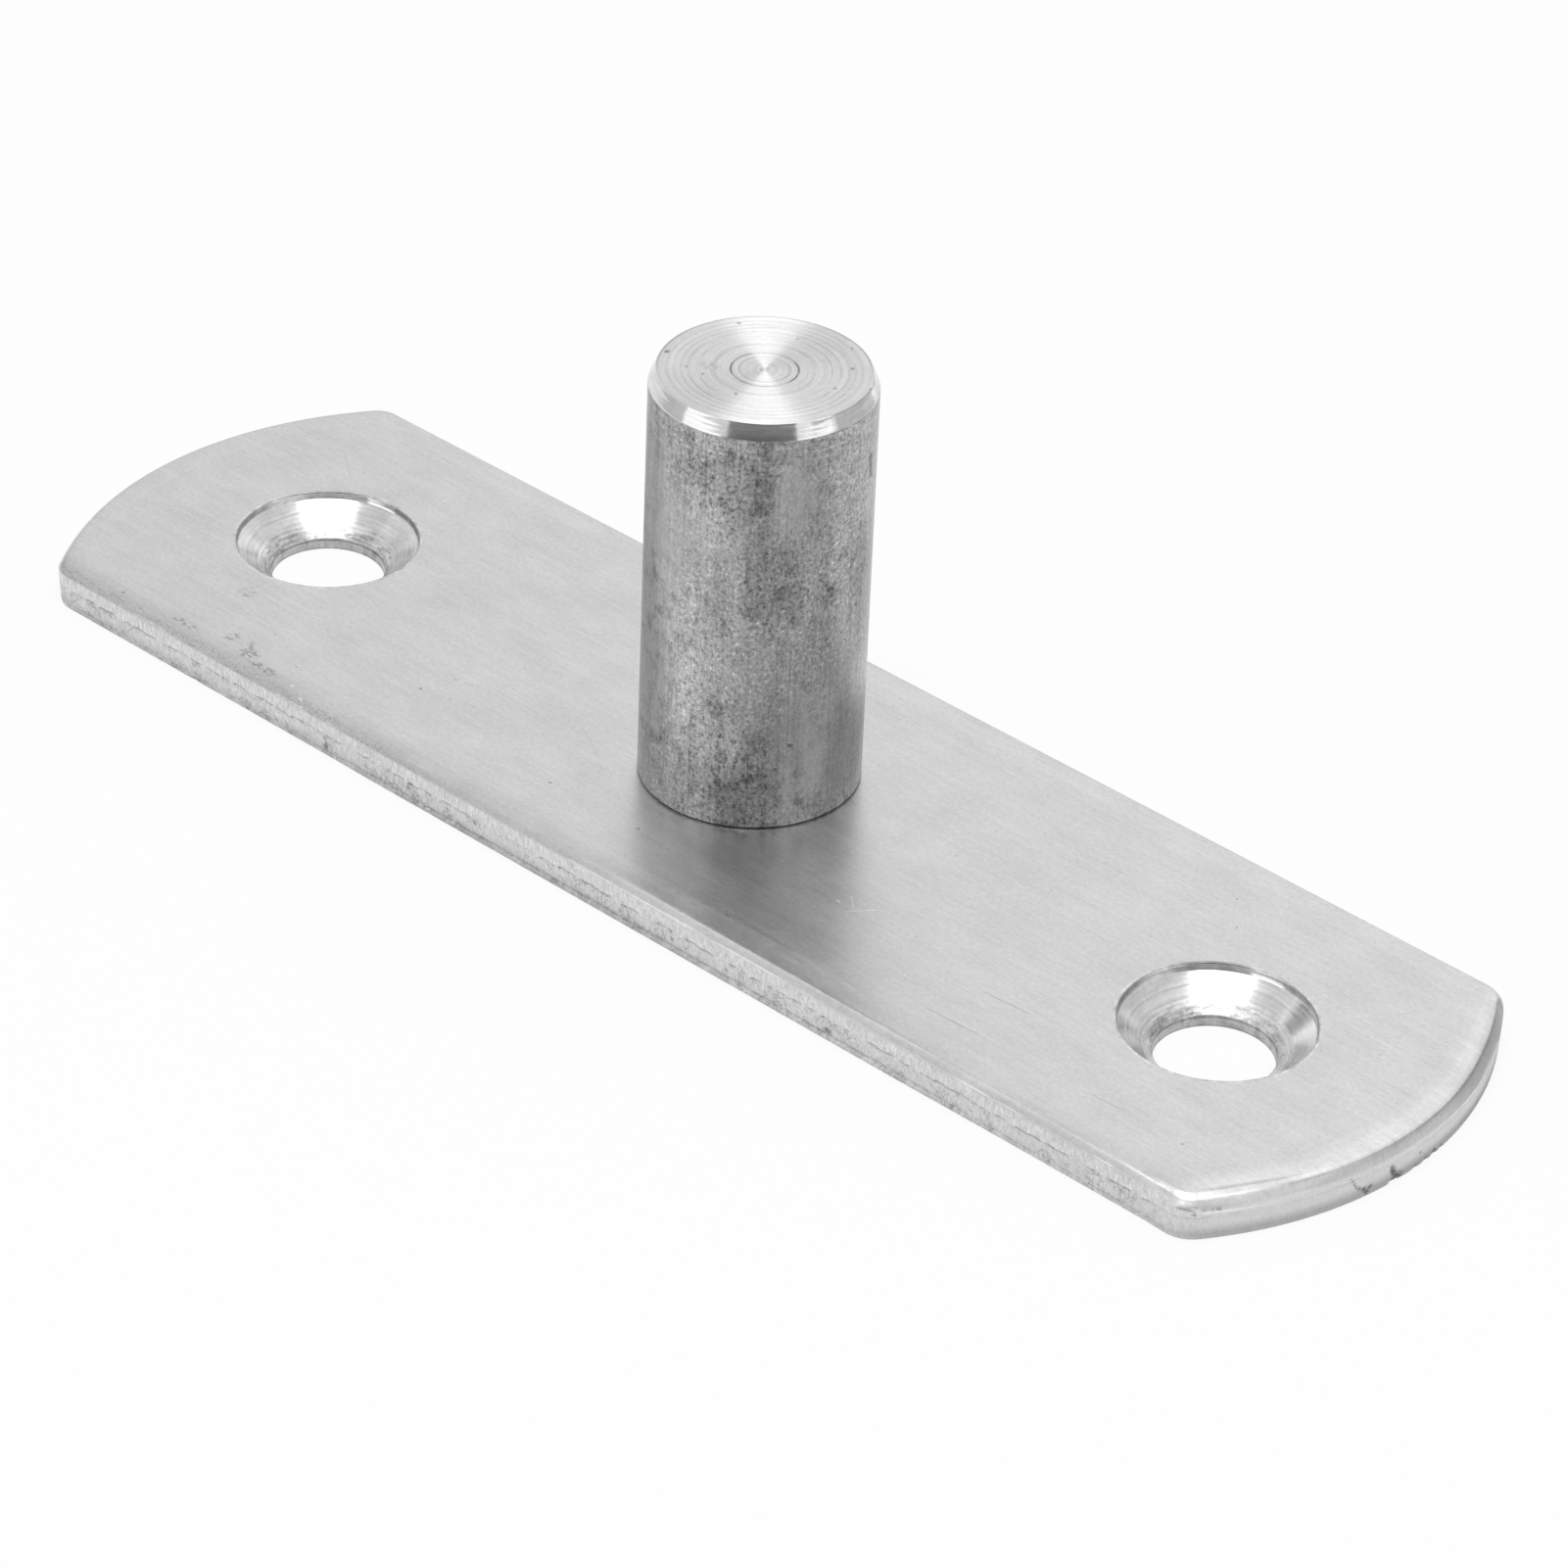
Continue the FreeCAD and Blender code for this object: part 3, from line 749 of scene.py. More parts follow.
def brushed_face():
    """The strip's rolled face, wiped along its length, with a few handling nicks."""
    steel = StripFinish("brushed_face")
    dots = steel.fade(steel.cells(steel.spot, 620.0), 0.075, 0.03)
    dots = dots * steel.fade(steel.noise(steel.spot, 330.0, 1.0), 0.04, 0.1)
    glints = steel.fade(steel.cells(steel.stretched(500, 800, 500), 1.0), 0.07, 0.03)
    glints = glints * steel.fade(steel.noise(steel.spot, 270.0, 1.0), 0.08, 0.14)
    dark_scratches = steel.scratches((
        (28.0, -7.6, 4.0, 2.4, 0.09, 0.6),
        (27.2, -11.3, 3.0, 3.4, 0.08, 0.6),
        (38.7, -10.9, 2.5, 1.9, 0.08, 0.6),
        (-9.0, -5.0, -28.0, 2.6, 0.06, 0.35),
        (45.5, 9.0, 62.0, 2.0, 0.06, 0.4),
        (-44.0, 7.5, -36.0, 3.0, 0.06, 0.35),
    ))
    light_scratches = steel.scratches((
        (15.6, -6.6, 50.0, 1.3, 0.07, 1.0),
        (14.6, -6.4, -42.0, 1.0, 0.06, 1.0),
        (13.4, -12.2, 38.0, 1.2, 0.06, 0.7),
    ))
    tone = 0.6 + steel.skin_tone
    tone = tone * (1 - 0.35 * dots) * (1 - 0.43 * steel.nicks) * (1 - 0.3 * dark_scratches)
    # Painted highlights: the glints and the three painted glints brighten the tone.
    tone = tone * (1 + 0.2 * glints + 0.25 * light_scratches + 0.4 * steel.painted_glints)
    roughness = 0.31 + steel.skin_roughness + steel.nicks * 0.1
    height = steel.skin_height - steel.nicks * 8e-6 - dots * 6e-6 - dark_scratches * 4e-6
    return steel.finish(tone, roughness, height)


def sheared_edge():
    """The edge that the shear left: a smooth roll, a drawn band and a torn lower zone."""
    steel = StripFinish("sheared_edge")
    ragged = steel.carried("ragged")
    torn = steel.carried("torn")
    crack = steel.carried("crack") * (0.25 + 0.75 * ragged)
    scuff = steel.carried("scuff")
    dent = steel.carried("dent")
    # Near the bottom of the front's lip the tone is darkened a little: painted shade under the edge.
    lip = steel.carried("lip") * steel.fade(steel.z, 0.5 * MM, 0.4 * MM)
    calm = steel.fade(steel.x, 46.0 * MM, 49.5 * MM)
    on_skin = steel.fade(steel.z + calm * 0.4 * MM, 2.4 * MM, 2.6 * MM)
    on_roll = on_skin * steel.fade(steel.z, 3.0 * MM, 2.85 * MM)
    strokes = steel.noise(steel.stretched(9200, 5600, 5600), 1.0, 4.0, 0.8)
    specked = steel.fade(steel.noise(steel.stretched(900, 1800, 900), 1.0), -0.1, 0.1)
    specks = steel.fade(strokes, 0.0, -0.14) * specked
    draw_lines = steel.noise(steel.stretched(4800, 4800, 1500), 1.0, 4.0, 0.72)
    grain = steel.noise(steel.stretched(5200, 5200, 3600), 1.0, 4.0, 0.72)
    patch = steel.noise(steel.stretched(1300, 1300, 800), 1.0, 3.0, 0.6)
    broken = steel.fade(steel.noise(steel.spot, 1500.0, 2.0), -0.1, 0.08)
    wrinkled = steel.vector_math("ADD", steel.stretched(2300, 2300, 1500), patch * 3.0)
    border = steel.cells(wrinkled, 1.0, "DISTANCE_TO_EDGE")
    seamed = steel.fade(steel.noise(steel.spot, 900.0, 2.0), 0.0, 0.1)
    seams = steel.fade(border, 0.12, 0.0) * seamed * torn * ragged
    pits = steel.fade(grain, 0.06, 0.18) * steel.fade(patch, -0.06, 0.1)
    pits = pits * torn * (0.4 + 0.6 * ragged) * (1 - calm)
    drawn = (1 - torn) * (1 - on_skin)
    # A painted highlight: a thin, broken glint line where the roll meets the wall.
    glint_breaks = steel.fade(steel.noise(steel.stretched(160, 160, 160), 1.0, 2.0), 0.0, 0.1)
    edge_glint_line = steel.layer(2.5, 2.56, 2.6, 2.66) * glint_breaks * (1 - calm)
    blotch = steel.fade(steel.x, -8.0 * MM, -24.0 * MM, 0.04, 0.48)
    rise_back = steel.fade(steel.y, -12.0 * MM, 10.0 * MM)
    # Painted shade low on the wall, all round: heavier left of x = 6 to 16 mm, and heaviest at the right end,
    # more towards the back.
    foot = 0.06 + steel.fade(steel.x, 16.0 * MM, 6.0 * MM) * 0.13 + (0.26 + 0.16 * rise_back) * calm
    foot = steel.fade(steel.z, 1.15 * MM, 0.35 * MM) * foot
    # Painted shade: a dark band on the right end's wall under the roll, deeper towards the back.
    far_end = steel.fade(steel.y, 2.0 * MM, 8.0 * MM) * calm
    band = steel.fade(steel.z + (rise_back * 0.28 + patch * 0.12) * MM, 2.08 * MM, 2.24 * MM)
    band = band * steel.fade(steel.z, 2.8 * MM, 2.66 * MM)
    band = band * (calm * (0.02 + 0.12 * rise_back) + 0.2 * far_end)
    corner_shade = steel.fade(steel.y, 6.0 * MM, 11.0 * MM) * steel.fade(steel.z, 2.72 * MM, 2.6 * MM)
    # Painted shade dims the highlight at the front-right corner, and brink is a painted highlight along the
    # top of the roll at the right end.
    painted_corner_shade = steel.near(50.2, -11.2, 2.9, 4.8, 4.8, 1.2) * steel.layer(2.6, 2.68, 2.82, 2.88)
    brink = steel.layer(2.8, 2.86, 2.93, 2.97) * calm * 0.1 - painted_corner_shade * 0.35
    tone = 0.62 + on_skin * steel.skin_tone + 0.03 * drawn + 0.02 * torn
    tone = tone + drawn * (draw_lines * 0.8 + grain * 0.5 + patch * 0.2) * (1 - 0.75 * calm)
    tone = tone + torn * (grain * 0.66 + draw_lines * 0.36 + patch * blotch) * (1 - 0.65 * calm)
    tone = tone + on_roll * (strokes * (0.1 + 0.52 * scuff) - 0.01 - 0.03 * scuff)
    # The tear line is darkened, partly a real crack and partly painted shade in its recess and along the
    # bottom edge; darkening in the dents is painted shade.
    tone = tone * (1 - 0.5 * crack * broken) * (1 - 0.35 * pits) * (1 - 0.32 * seams) * (1 - 0.62 * dent)
    tone = tone * (1 - 0.06 * lip) * (1 - 0.3 * scuff * on_roll * specks) * (1 + 0.3 * edge_glint_line)
    # Painted light: the painted glints brighten, while foot and band are painted shade.
    tone = tone * (1 - 0.43 * on_skin * steel.nicks) * (1 + 0.4 * steel.painted_glints) * (1 - foot) * (1 - band)
    tone = tone * (1 - 0.14 * corner_shade * calm) * (1 + brink)
    roughness = 0.34 + on_skin * steel.skin_roughness + 0.1 * torn + patch * 0.2
    height = on_skin * steel.skin_height + torn * (grain * 1e-5 - pits * 1.4e-5 - seams * 1.2e-5)
    height = height + drawn * draw_lines * (4e-6 - 3e-6 * calm) + on_roll * scuff * strokes * 5e-6
    return steel.finish(tone, roughness, height)


def countersunk():
    """The screw hole's cone, with the rings that the cutter left, and painted highlights and shade on some of
    its sides.
    """
    steel = Finish("countersunk")
    torn = steel.carried("torn")
    crack = steel.carried("crack")
    across = steel.x - steel.math("SIGN", steel.x) * HOLE_X * MM
    radius = steel.math("SQRT", across * across + steel.y * steel.y)

    def toward(degrees, start, end):
        """1 on the side of the hole that lies this way from its middle. Start and end are cosines."""
        angle = math.radians(degrees)
        return steel.fade((across * math.cos(angle) + steel.y * math.sin(angle)) / radius, start, end)

    slow = steel.noise(steel.spot, 260.0, 1.0)
    rings = steel.noise(steel.vector(radius * 5200 + slow * 2.0, slow * 2.0, steel.z * 500), 1.0, 4.0, 0.65)
    grain = steel.noise(steel.spot, 3600.0, 4.0, 0.66)
    smear = steel.noise(steel.stretched(420, 420, 900), 1.0, 3.0, 0.6)
    arcs = steel.noise(steel.vector(radius * 4200, steel.x * 900, steel.y * 900), 1.0, 3.0, 0.66)
    bite = torn * steel.fade(arcs, 0.0, 0.1)
    rim = steel.fade(steel.z, 2.5 * MM, 2.58 * MM)
    around_rim = steel.noise(steel.spot, 1600.0, 2.0)
    on_left = steel.fade(steel.x, 0.0, -1 * MM)
    inside = steel.layer(0.7, 0.85, 2.85, 2.95)
    # pale: painted highlights on the sides of the cone that face the lamps, less painted shade on two sides
    # of the left hole.
    pale = toward(30.0, 0.82, 0.97) * (0.9 - 0.45 * on_left) + toward(230.0, 0.86, 0.97) * 0.42
    pale = pale + steel.near(40.25, 4.25, 1.8, 1.3, 1.3, 1.0) * 0.45
    pale = pale + toward(60.0, 0.93, 0.985) * (0.3 + 0.4 * rim) * (1 - on_left)
    pale = pale - toward(103.0, 0.96, 0.99) * on_left * 0.16
    pale = pale - toward(166.0, 0.97, 0.995) * on_left * torn * 0.25
    pale = pale * inside
    # west: a painted highlight on the rim and painted shade below it on that side; north_west: painted shade
    # on the rim.
    west = toward(188.0, 0.7, 0.95) * inside
    north_west = toward(136.0, 0.9, 0.97) * rim * (1 - 0.8 * on_left)
    # sliver: a painted highlight, a thin bright line high on the rim wall.
    sliver = toward(99.0, 0.976, 0.991) * steel.fade(steel.z, 2.5 * MM, 2.54 * MM)
    sliver = sliver * steel.fade(steel.z - on_left * 0.14 * MM, 2.78 * MM, 2.7 * MM)
    tone = 0.6 + rings * (0.5 + 0.5 * torn) + grain * (0.2 + 0.4 * torn) + smear * 0.4
    # The darkened rim wall and bore are painted shade on these steep walls.
    tone = tone * (1 - crack * (0.5 - 0.25 * rim)) * (1 - 0.3 * bite) * (1 + rim * around_rim)
    tone = tone * (1 + pale) * (1 + west * (0.5 * rim - 0.15)) * (1 - 0.3 * north_west) + 0.6 * sliver
    roughness = (0.2 + 0.16 * torn + rings * 0.3 + 0.2 * crack + 0.12 * bite) * (1 - 0.6 * sliver)
    height = rings * (2e-6 + 4e-6 * torn) + grain * torn * 8e-6
    return steel.finish(tone, roughness, height)


def drawn_bar():
    """The pin's drawn skin: dull, mottled and streaked along its length."""
    steel = Finish("drawn_bar")
    crack = steel.carried("crack")
    dent = steel.carried("dent")
    streaks = steel.noise(steel.stretched(3300, 3300, 60), 1.0, 4.0, 0.62)
    cloud = steel.noise(steel.stretched(190, 190, 120), 1.0, 4.0, 0.6)
    mottle = steel.noise(steel.stretched(1150, 1150, 800), 1.0, 4.0, 0.66)
    leather = steel.noise(steel.stretched(4700, 4700, 4000), 1.0, 3.0, 0.8)
    quiet = steel.clamp(steel.patches_around((
        (-116.0, 18.0, 4.4, 16.0, 1.0),
        (-26.0, 8.0, 2.2, 7.0, 0.8),
        (2.0, 8.0, 3.6, 8.0, 0.8),
        (-30.0, 26.5, 2.0, 3.6, 0.8),
        (-84.0, 24.0, 2.4, 3.0, 0.4),
    )))
    lively = 1 - 0.7 * quiet
    rubs = steel.noise(steel.stretched(330, 330, 4200), 1.0, 3.0, 0.6)
    stain = steel.patches_around((
        (-58.0, 26.8, 2.6, 3.0, 1.0),
        (-62.0, 28.6, 1.8, 2.0, 0.9),
        (-46.0, 27.4, 0.9, 2.2, 0.8),
        (-113.0, 7.4, 2.6, 0.7, 0.8),
        (-95.0, 7.9, 1.8, 0.5, 0.5),
        (13.0, 20.6, 1.7, 3.4, 0.7),
        (-118.0, 18.0, 2.2, 7.0, 0.4),
        (-38.0, 20.2, 2.6, 4.2, 0.9),
        (-64.0, 11.4, 2.0, 3.2, 0.6),
        (-50.0, 3.8, 3.0, 4.8, 1.1),
        (-20.0, 3.0, 4.6, 3.0, 0.8),
        (-73.0, 27.6, 3.0, 1.6, 0.9),
        (10.0, 21.6, 1.6, 2.4, 0.6),
        (-8.0, 19.4, 0.9, 1.2, 0.35),
        (130.0, 22.0, 3.4, 5.0, 0.7),
        (190.0, 12.0, 3.0, 6.0, 0.6),
    ))
    near_top = steel.fade(steel.z, 27.5 * MM, 30.0 * MM)
    density = steel.clamp(0.55 + cloud * 2.6 + stain * 0.7)
    dark = steel.fade(leather, -0.01, -0.16)
    bright = steel.fade(leather, 0.06, 0.2)
    blot = steel.fade(mottle, 0.02, -0.14) * density
    lines = steel.fade(streaks, 0.1, 0.2)
    # Painted light on the pin's side: these patches lighten it, most on its left flank.
    painted_light_patches = steel.patches_around((
        (-80.0, 23.0, 2.4, 5.5, 1.2),
        (-86.0, 14.0, 2.0, 9.0, 1.0),
        (-90.0, 6.0, 1.3, 5.0, 1.2),
        (-74.0, 12.5, 2.2, 4.0, 0.8),
        (-30.0, 6.0, 0.6, 5.0, 1.0),
        (-14.0, 10.0, 1.6, 7.0, 1.0),
        (22.0, 11.5, 2.6, 2.4, 1.0),
        (13.0, 20.4, 1.0, 0.5, 1.4),
        (-104.0, 22.0, 2.4, 6.0, 1.5),
        (-98.0, 8.0, 2.4, 7.0, 1.6),
    ))
    # Painted shade on the pin's side: these patches darken it, about the middle and to the right.
    painted_shade_patches = steel.patches_around((
        (10.0, 7.0, 3.4, 6.5, 1.9),
        (22.0, 18.0, 2.6, 7.0, 1.6),
        (-32.0, 8.0, 2.2, 5.0, 1.1),
        (-48.0, 23.0, 1.4, 2.6, 1.0),
        (-60.0, 17.0, 1.6, 3.6, 0.9),
        (-28.0, 7.0, 1.4, 3.0, 0.8),
        (32.0, 5.0, 2.4, 5.0, 1.0),
    ))
    tone = 0.4 + cloud * 0.3 + streaks * 0.3 + leather * 0.6 * lively
    tone = tone + rubs * (0.08 + 0.5 * near_top) + (painted_light_patches - painted_shade_patches) * 0.045
    tone = tone * (1 - 0.54 * dark * density * lively) * (1 + 0.46 * bright * lively)
    tone = tone * (1 - 0.4 * blot) * (1 - 0.4 * lines)
    # Darkening where the pin meets the plate and in the dents is painted shade.
    tone = tone * (1 - 0.22 * steel.clamp(stain)) * (1 - 0.6 * crack) * (1 - 0.7 * dent)
    roughness = 0.3 + mottle * 0.3 + leather * 0.16
    height = streaks * 3e-6 + mottle * 8e-6 + leather * 5e-6 + rubs * near_top * 3e-6
    return steel.finish(tone, roughness, height)


def faced_end():
    """The pin's faced end, with the rings of the lathe tool."""
    steel = Finish("faced_end")
    crack = steel.carried("crack")
    dent = steel.carried("dent")
    radius = steel.math("SQRT", steel.x * steel.x + steel.y * steel.y)
    slow = steel.noise(steel.spot, 200.0, 1.0)
    rings = steel.noise(steel.vector(radius * 3300 + slow, slow * 2.0, 0.0), 1.0, 3.0, 0.66)
    grain = steel.noise(steel.spot, 3800.0, 3.0, 0.66)
    cloud = steel.noise(steel.spot, 330.0, 3.0, 0.6)
    broken = steel.fade(steel.noise(steel.spot, 480.0, 2.0), -0.06, 0.1)
    smudge = steel.near(-2.6, -2.1, PIN_TOP, 1.1, 0.7, 1.0) * steel.fade(grain, -0.04, 0.1)
    inked = steel.patches((
        (-1.93, 0.3, PIN_TOP, 0.9, 0.9, 1.0, 1.0),
        (-1.5, -1.3, PIN_TOP, 1.0, 1.0, 1.0, 1.0),
        (-0.3, -1.95, PIN_TOP, 0.7, 0.7, 1.0, 0.8),
        (1.2, 1.5, PIN_TOP, 0.8, 0.8, 1.0, 0.8),
        (1.9, 0.4, PIN_TOP, 0.8, 0.8, 1.0, 1.0),
    ))
    # Painted shade along the far edge of the faced end.
    far_side = steel.fade(steel.x * 0.66 - steel.y * 0.75, 1.0 * MM, -2.0 * MM)
    brink = steel.fade(radius, 6.36 * MM, 6.48 * MM) * far_side
    tone = 0.72 + rings * 0.42 + grain * 0.2 + cloud * 0.08
    # The rings' grooves are darkened as painted shade, more where inked; darkening in the pits is painted
    # shade too.
    tone = tone * (1 - crack * (0.2 + 0.35 * broken + 0.3 * steel.clamp(inked))) * (1 - 0.6 * dent)
    tone = tone * (1 - 0.3 * smudge) * (1 - 0.3 * brink)
    roughness = 0.4 + cloud * 0.06
    height = rings * 2e-6 + grain * 6e-7
    return steel.finish(tone, roughness, height, 0.98, 0.25)


def turned_chamfer():
    """The bright chamfer round the pin's end."""
    steel = Finish("turned_chamfer")
    rings = steel.noise(steel.stretched(300, 300, 8200), 1.0, 3.0, 0.62)
    chatter = steel.noise(steel.stretched(1500, 1500, 2600), 1.0, 3.0, 0.6)
    worn = steel.near(5.4, 3.6, PIN_TOP, 2.6, 2.6, 1.0) + steel.near(-4.2, 5.0, PIN_TOP, 1.4, 1.4, 1.0)
    worn = steel.clamp(worn) * steel.fade(chatter, 0.0, 0.1) * steel.fade(steel.z, 31.1 * MM, 31.4 * MM)
    low = steel.fade(steel.z, 31.05 * MM, 30.6 * MM)
    shade = steel.patches((
        (4.64, -5.15, 30.9, 2.4, 2.4, 1.0, 0.35),
        (5.9, 3.7, 30.9, 2.2, 2.2, 1.0, 0.16),
    ))
    # Painted highlights on the chamfer's right side.
    painted_light_patches = steel.patches((
        (6.6, -2.0, 30.9, 1.8, 1.8, 1.0, 0.08),
        (6.9, 0.3, 30.9, 2.0, 2.0, 1.0, 0.18),
        (6.4, 2.6, 30.9, 1.6, 1.6, 1.0, 0.3),
    ))
    tone = (0.68 + rings * 0.4 + chatter * 0.25) * (1 - 0.5 * worn) * (1 - shade * low) * (1 + painted_light_patches)
    roughness = 0.12 + chatter * 0.16
    height = rings * 2.4e-6 + chatter * 3e-6
    return steel.finish(tone, roughness, height)


def hammered_rivet():
    """The spread end of the spigot, dull and dented by the riveting tool."""
    steel = Finish("hammered_rivet")
    dents = steel.noise(steel.spot, 900.0, 2.0, 0.5)
    grain = steel.noise(steel.spot, 4200.0, 3.0, 0.6)
    tone = 0.5 + dents * 0.3 + grain * 0.3
    roughness = 0.36 + dents * 0.2
    height = dents * 1.2e-5 + grain * 3e-6
    return steel.finish(tone, roughness, height)


# Pieces

def fill_level(mesh_data, height, upward):
    """Closes the open loops that lie at this height with one flat face of triangles."""
    loop_edges = []
    for edge in mesh_data.edges:
        if edge.is_boundary and all(abs(corner.co.z - height) < NEAR_LEVEL * MM for corner in edge.verts):
            loop_edges.append(edge)
    # Seen exactly upright, the fill fails on points in line, so its view leans a little.
    normal = (0.0008, 0.0018, 1.0 if upward else -1.0)
    filled = bmesh.ops.triangle_fill(
        mesh_data, use_beauty=True, use_dissolve=False, edges=loop_edges, normal=normal
    )
    faces = [item for item in filled["geom"] if isinstance(item, bmesh.types.BMFace)]
    for face in faces:
        face.smooth = True
    return faces


def joined(name, parts):
    """One object of several swept ones."""
    first = parts[0]
    with bpy.context.temp_override(
        active_object=first, object=first, selected_objects=parts, selected_editable_objects=parts
    ):
        bpy.ops.object.join()
    first.name = name
    return first


def make_plate(tree, dents):
    """The mounting plate: sheared edge, two countersunk holes, pin bore and its two flat faces."""
    plain = {
        "Top Height": PLATE_THICKNESS * MM,
        "Grain Size": 0.16 * MM,
        "Streak Width": 0.12 * MM,
        "Streak Length": 2.0 * MM,
        "Sway Length": 0.9 * MM,
        "Sway Depth": 0.24 * MM,
    }
    edge_steps = {**plain, "Steps": 1700}
    sink_steps = {**plain, "Steps": 224}
    bore_steps = {**plain, "Steps": 96}
    shear = swept_piece("shear", tree, outline_path(), shear_section(), dents, sheared_edge(), edge_steps)
    parts = [shear]
    sink_finish = countersunk()
    for name, centre, seed in (("left_sink", -HOLE_X, 3), ("right_sink", HOLE_X, 8)):
        path = circle_path(name, centre, SINK_RADIUS, sink_steps["Steps"])
        section = sink_section(seed)
        parts.append(swept_piece(name, tree, path, section, dents, sink_finish, sink_steps))
    path = circle_path("bore", 0.0, BORE_RADIUS, bore_steps["Steps"])
    parts.append(swept_piece("bore", tree, path, bore_section(), dents, sink_finish, bore_steps))
    plate = joined("sheared_plate", parts)
    plate.data.materials.append(brushed_face())
    face_slot = len(plate.data.materials) - 1

    body = bmesh.new()
    body.from_mesh(plate.data)
    for height, upward in ((PLATE_THICKNESS * MM, True), (0.0, False)):
        for face in fill_level(body, height, upward):
            face.material_index = face_slot
    for face in body.faces:
        for height in (PLATE_THICKNESS * MM, 0.0):
            if all(abs(corner.co.z - height) < ON_LEVEL * MM for corner in face.verts):
                face.material_index = face_slot
    bmesh.ops.recalc_face_normals(body, faces=body.faces)
    body.to_mesh(plate.data)
    body.free()
    plate.data.set_sharp_from_angle(angle=math.radians(SHARP_ANGLE))
    return plate


def make_pin(tree, dents):
    """The pivot pin: faced end, chamfer, drawn side, spigot and rivet head."""
    sizes = {
        "Top Height": PIN_TOP * MM,
        "Grain Size": 0.5 * MM,
        "Streak Width": 0.9 * MM,
        "Streak Length": 14.0 * MM,
        "Sway Length": 2.0 * MM,
        "Sway Depth": 0.0,
        "Steps": 288,
    }
    path = circle_path("pin_path", 0.0, PIN_RADIUS, sizes["Steps"])
    pin = swept_piece("turned_pin", tree, path, pin_section(5), dents, drawn_bar(), sizes)
    for finish in (faced_end(), turned_chamfer(), hammered_rivet()):
        pin.data.materials.append(finish)
    body = bmesh.new()
    body.from_mesh(pin.data)
    bmesh.ops.remove_doubles(body, verts=body.verts, dist=1e-6)
    for face in body.faces:
        centre = face.calc_center_median()
        height = centre.z / MM
        radius = math.hypot(centre.x, centre.y) / MM
        if height > PIN_TOP - 0.3 and radius < END_FACE_RADIUS - 0.02:
            face.material_index = 1
        elif height > CHAMFER_FOOT - 0.02:
            face.material_index = 2
        elif height < 0.3:
            face.material_index = 3
    bmesh.ops.recalc_face_normals(body, faces=body.faces)
    body.to_mesh(pin.data)
    body.free()
    pin.data.set_sharp_from_angle(angle=math.radians(SHARP_ANGLE))
    return pin


# Studio

CAMERA_PLACE = (0.2246403, -0.2492393, 0.2221039)
CAMERA_TURN = (56.6943, -2.0318, 42.9862)
LENS = 147.529


def make_camera():
    lens = bpy.data.cameras.new("camera")
    lens.lens = LENS
    lens.sensor_width = 36.0
    lens.clip_start = 0.01
    camera = bpy.data.objects.new("camera", lens)
    camera.location = CAMERA_PLACE
    camera.rotation_euler = [math.radians(angle) for angle in CAMERA_TURN]
    bpy.context.scene.collection.objects.link(camera)
    bpy.context.scene.camera = camera


def studio_place(toward, right, height):
    """A place by its distances toward the camera, to the camera's right and up."""
    flat = Vector((CAMERA_PLACE[0], CAMERA_PLACE[1], 0.0)).normalized()
    side = Vector((-flat.y, flat.x, 0.0))
    return flat * toward + side * right + Vector((0.0, 0.0, height))


def make_softbox(name, toward, right, height, width, depth, power):
    """A soft lamp that faces the object, with its width level."""
    lamp = bpy.data.lights.new(name, "AREA")
    lamp.shape = "RECTANGLE"
    lamp.size = width
    lamp.size_y = depth
    lamp.energy = power
    light = bpy.data.objects.new(name, lamp)
    place = studio_place(toward, right, height)
    away = place.normalized()
    level = Vector((0.0, 0.0, 1.0)).cross(away).normalized()
    turn = Matrix((level, away.cross(level), away)).transposed()
    light.matrix_world = Matrix.Translation(place) @ turn.to_4x4()
    light.visible_camera = False
    bpy.context.scene.collection.objects.link(light)


def make_card(name, corners, material):
    """A card that only the metal sees."""
    mesh = bpy.data.meshes.new(name)
    mesh.from_pydata(corners, [], [tuple(range(len(corners)))])
    mesh.materials.append(material)
    card = bpy.data.objects.new(name, mesh)
    bpy.context.scene.collection.objects.link(card)
    card.visible_camera = False
    card.visible_diffuse = False
    card.visible_shadow = False
    card.visible_transmission = False


def card_material(name, grey):
    material = bpy.data.materials.new(name)
    material.use_nodes = True
    material.node_tree.nodes.clear()
    bench = Bench(material.node_tree)
    shader = bench.place("ShaderNodeEmission", None, {"Color": (grey, grey, grey, 1.0), "Strength": 1.0})
    bench.place("ShaderNodeOutputMaterial", None, {"Surface": bench.result(shader, "Emission")})
    return material


def seen_directly(bench):
    """1 for the rays that show the background itself, in the picture, in metal and through glass."""
    path = bench.place("ShaderNodeLightPath")
    camera = bench.result(path, "Is Camera Ray")
    glossy = bench.result(path, "Is Glossy Ray")
    through = bench.result(path, "Is Transmission Ray")
    return bench.math("MINIMUM", camera + glossy + through, 1.0)


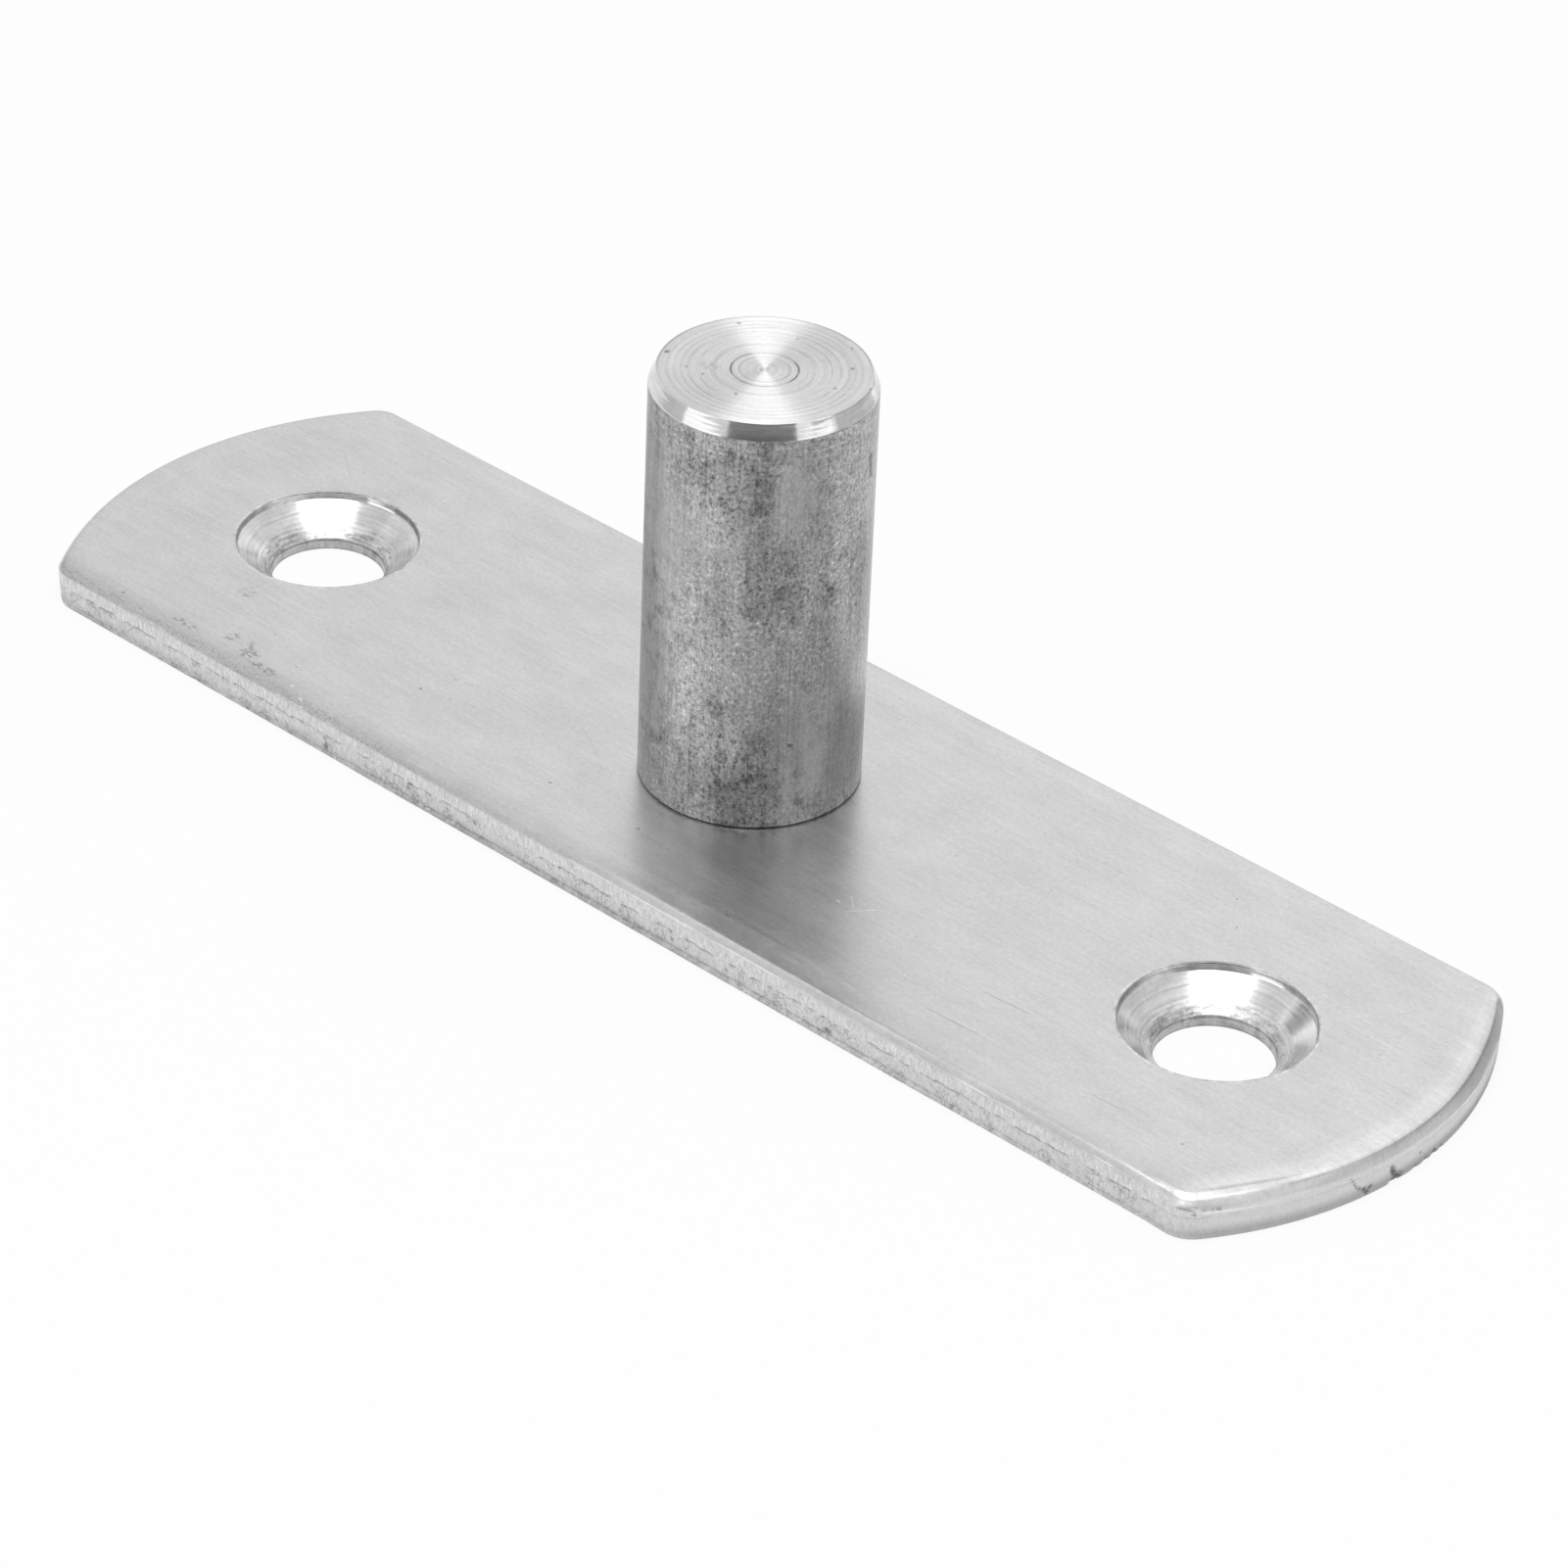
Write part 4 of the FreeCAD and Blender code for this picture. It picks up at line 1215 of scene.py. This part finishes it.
def make_world():
    """A white background, and the walls that the metal mirrors, greyer low down and to the left."""
    world = bpy.data.worlds.new("studio")
    world.use_nodes = True
    world.node_tree.nodes.clear()
    bench = Bench(world.node_tree)
    rays = bench.place("ShaderNodeLightPath")
    camera = bench.result(rays, "Is Camera Ray")
    mirrored = bench.clamp(bench.result(rays, "Is Glossy Ray") + bench.result(rays, "Is Transmission Ray"))
    way = bench.result(bench.place("ShaderNodeTexCoord"), "Generated")
    x, y, z = bench.parts(way)
    across = studio_place(0.0, 1.0, 0.0)
    right = x * across.x + y * across.y
    wall = bench.fade(z, 0.0, 0.45, 0.68, 1.05) * bench.fade(right, -0.2, 0.2, 0.91, 1.1)
    strength = camera + (1 - camera) * (mirrored * wall + (1 - mirrored) * 0.6)
    white = (1.0, 1.0, 1.0, 1.0)
    shader = bench.place("ShaderNodeBackground", None, {"Color": white, "Strength": strength})
    bench.place("ShaderNodeOutputWorld", None, {"Surface": bench.result(shader, "Background")})
    bpy.context.scene.world = world


def make_floor():
    """A pale table that keeps a faint shadow of the object."""
    reach = 6.0
    height = -0.00004
    mesh = bpy.data.meshes.new("floor")
    corners = [(x * reach, y * reach, height) for x, y in ((-1, -1), (1, -1), (1, 1), (-1, 1))]
    mesh.from_pydata(corners, [], [(0, 1, 2, 3)])
    floor = bpy.data.objects.new("floor", mesh)
    bpy.context.scene.collection.objects.link(floor)
    material = bpy.data.materials.new("pale_table")
    material.use_nodes = True
    material.node_tree.nodes.clear()
    bench = Bench(material.node_tree)
    paint = bench.place("ShaderNodeBsdfDiffuse", None, {"Color": (0.9, 0.9, 0.9, 1.0)})
    glow = bench.place("ShaderNodeEmission", None, {"Color": (1.0, 1.0, 1.0, 1.0), "Strength": 1.0})
    glow_share = 0.88
    share = glow_share * seen_directly(bench)
    mix = bench.place(
        "ShaderNodeMixShader",
        None,
        {"Fac": share, "Shader": bench.result(paint, "BSDF"), "Shader_001": bench.result(glow, "Emission")},
    )
    bench.place("ShaderNodeOutputMaterial", None, {"Surface": bench.result(mix, "Shader")})
    mesh.materials.append(material)


def make_studio():
    """The lamps, the floor and the cards. Each card's corners are studio_place's distances in metres."""
    make_world()
    make_floor()
    make_softbox("overhead_softbox", 0.2, -0.01, 0.8, 0.7, 0.72, 3.5)
    make_softbox("left_softbox", 0.45, -0.78, 0.1, 0.66, 0.36, 0.55)
    make_softbox("right_softbox", 0.55, 0.7, 0.14, 0.6, 0.26, 0.19)
    front = 0.85
    half = front * math.tan(math.radians(33.5))
    front_corners = (
        (front, -half, 0.02), (front, half, 0.02), (front, half, 0.46),
        (front, 0.3, 0.46), (front, 0.3, 0.66), (front, -half, 0.66),
    )
    above_corners = (
        (front, 0.3, 0.46), (front, 0.75, 0.46), (front, 0.75, 1.0),
        (front, -0.3, 1.0), (front, -0.3, 0.76), (front, 0.3, 0.76),
    )
    side = 0.9
    side_corners = (
        (0.75, side, 0.35), (0.24, side, 0.27), (0.24, side, 0.0), (-1.1, side, 0.0), (-1.1, side, 0.26),
        (-0.42, side, 0.26), (-0.42, side, 0.44), (0.2, side, 0.5), (0.75, side, 0.85),
    )
    # The three table cards are grey sheets on the table that only the metal sees: painted shadow on the table
    # near the object.
    table_corners = ((0.027, -0.0055, 0.0), (0.3, -0.055, 0.0), (0.3, 0.14, 0.0), (0.047, 0.017, 0.0))
    right_corners = ((0.24, 0.26, 0.0), (0.24, side, 0.0), (-1.1, side, 0.0), (-0.3, 0.26, 0.0))
    near_corners = (
        (0.06, 0.038, 0.0), (0.24, 0.1, 0.0), (0.24, 0.26, 0.0),
        (-0.3, 0.26, 0.0), (0.024, 0.062, 0.0), (0.044, 0.053, 0.0),
    )
    for name, corners, grey in (
        ("front_card", front_corners, 0.26),
        ("above_card", above_corners, 1.1),
        ("side_card", side_corners, 0.54),
        ("table_card", table_corners, 0.6),
        ("right_table_card", right_corners, 0.55),
        ("near_table_card", near_corners, 0.62),
    ):
        make_card(name, [studio_place(*corner) for corner in corners], card_material(name, grey))


make_camera()
make_studio()
section_sweep = sweep_tree()
dents = dents_object()
plate = make_plate(section_sweep, dents)
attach(plate, "root")
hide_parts("mounting_plate")
pin = make_pin(section_sweep, dents)
bpy.data.objects.remove(dents)
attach(pin, "root")
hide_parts("pivot_pin")

view = bpy.context.scene.view_settings
view.view_transform = "Standard"
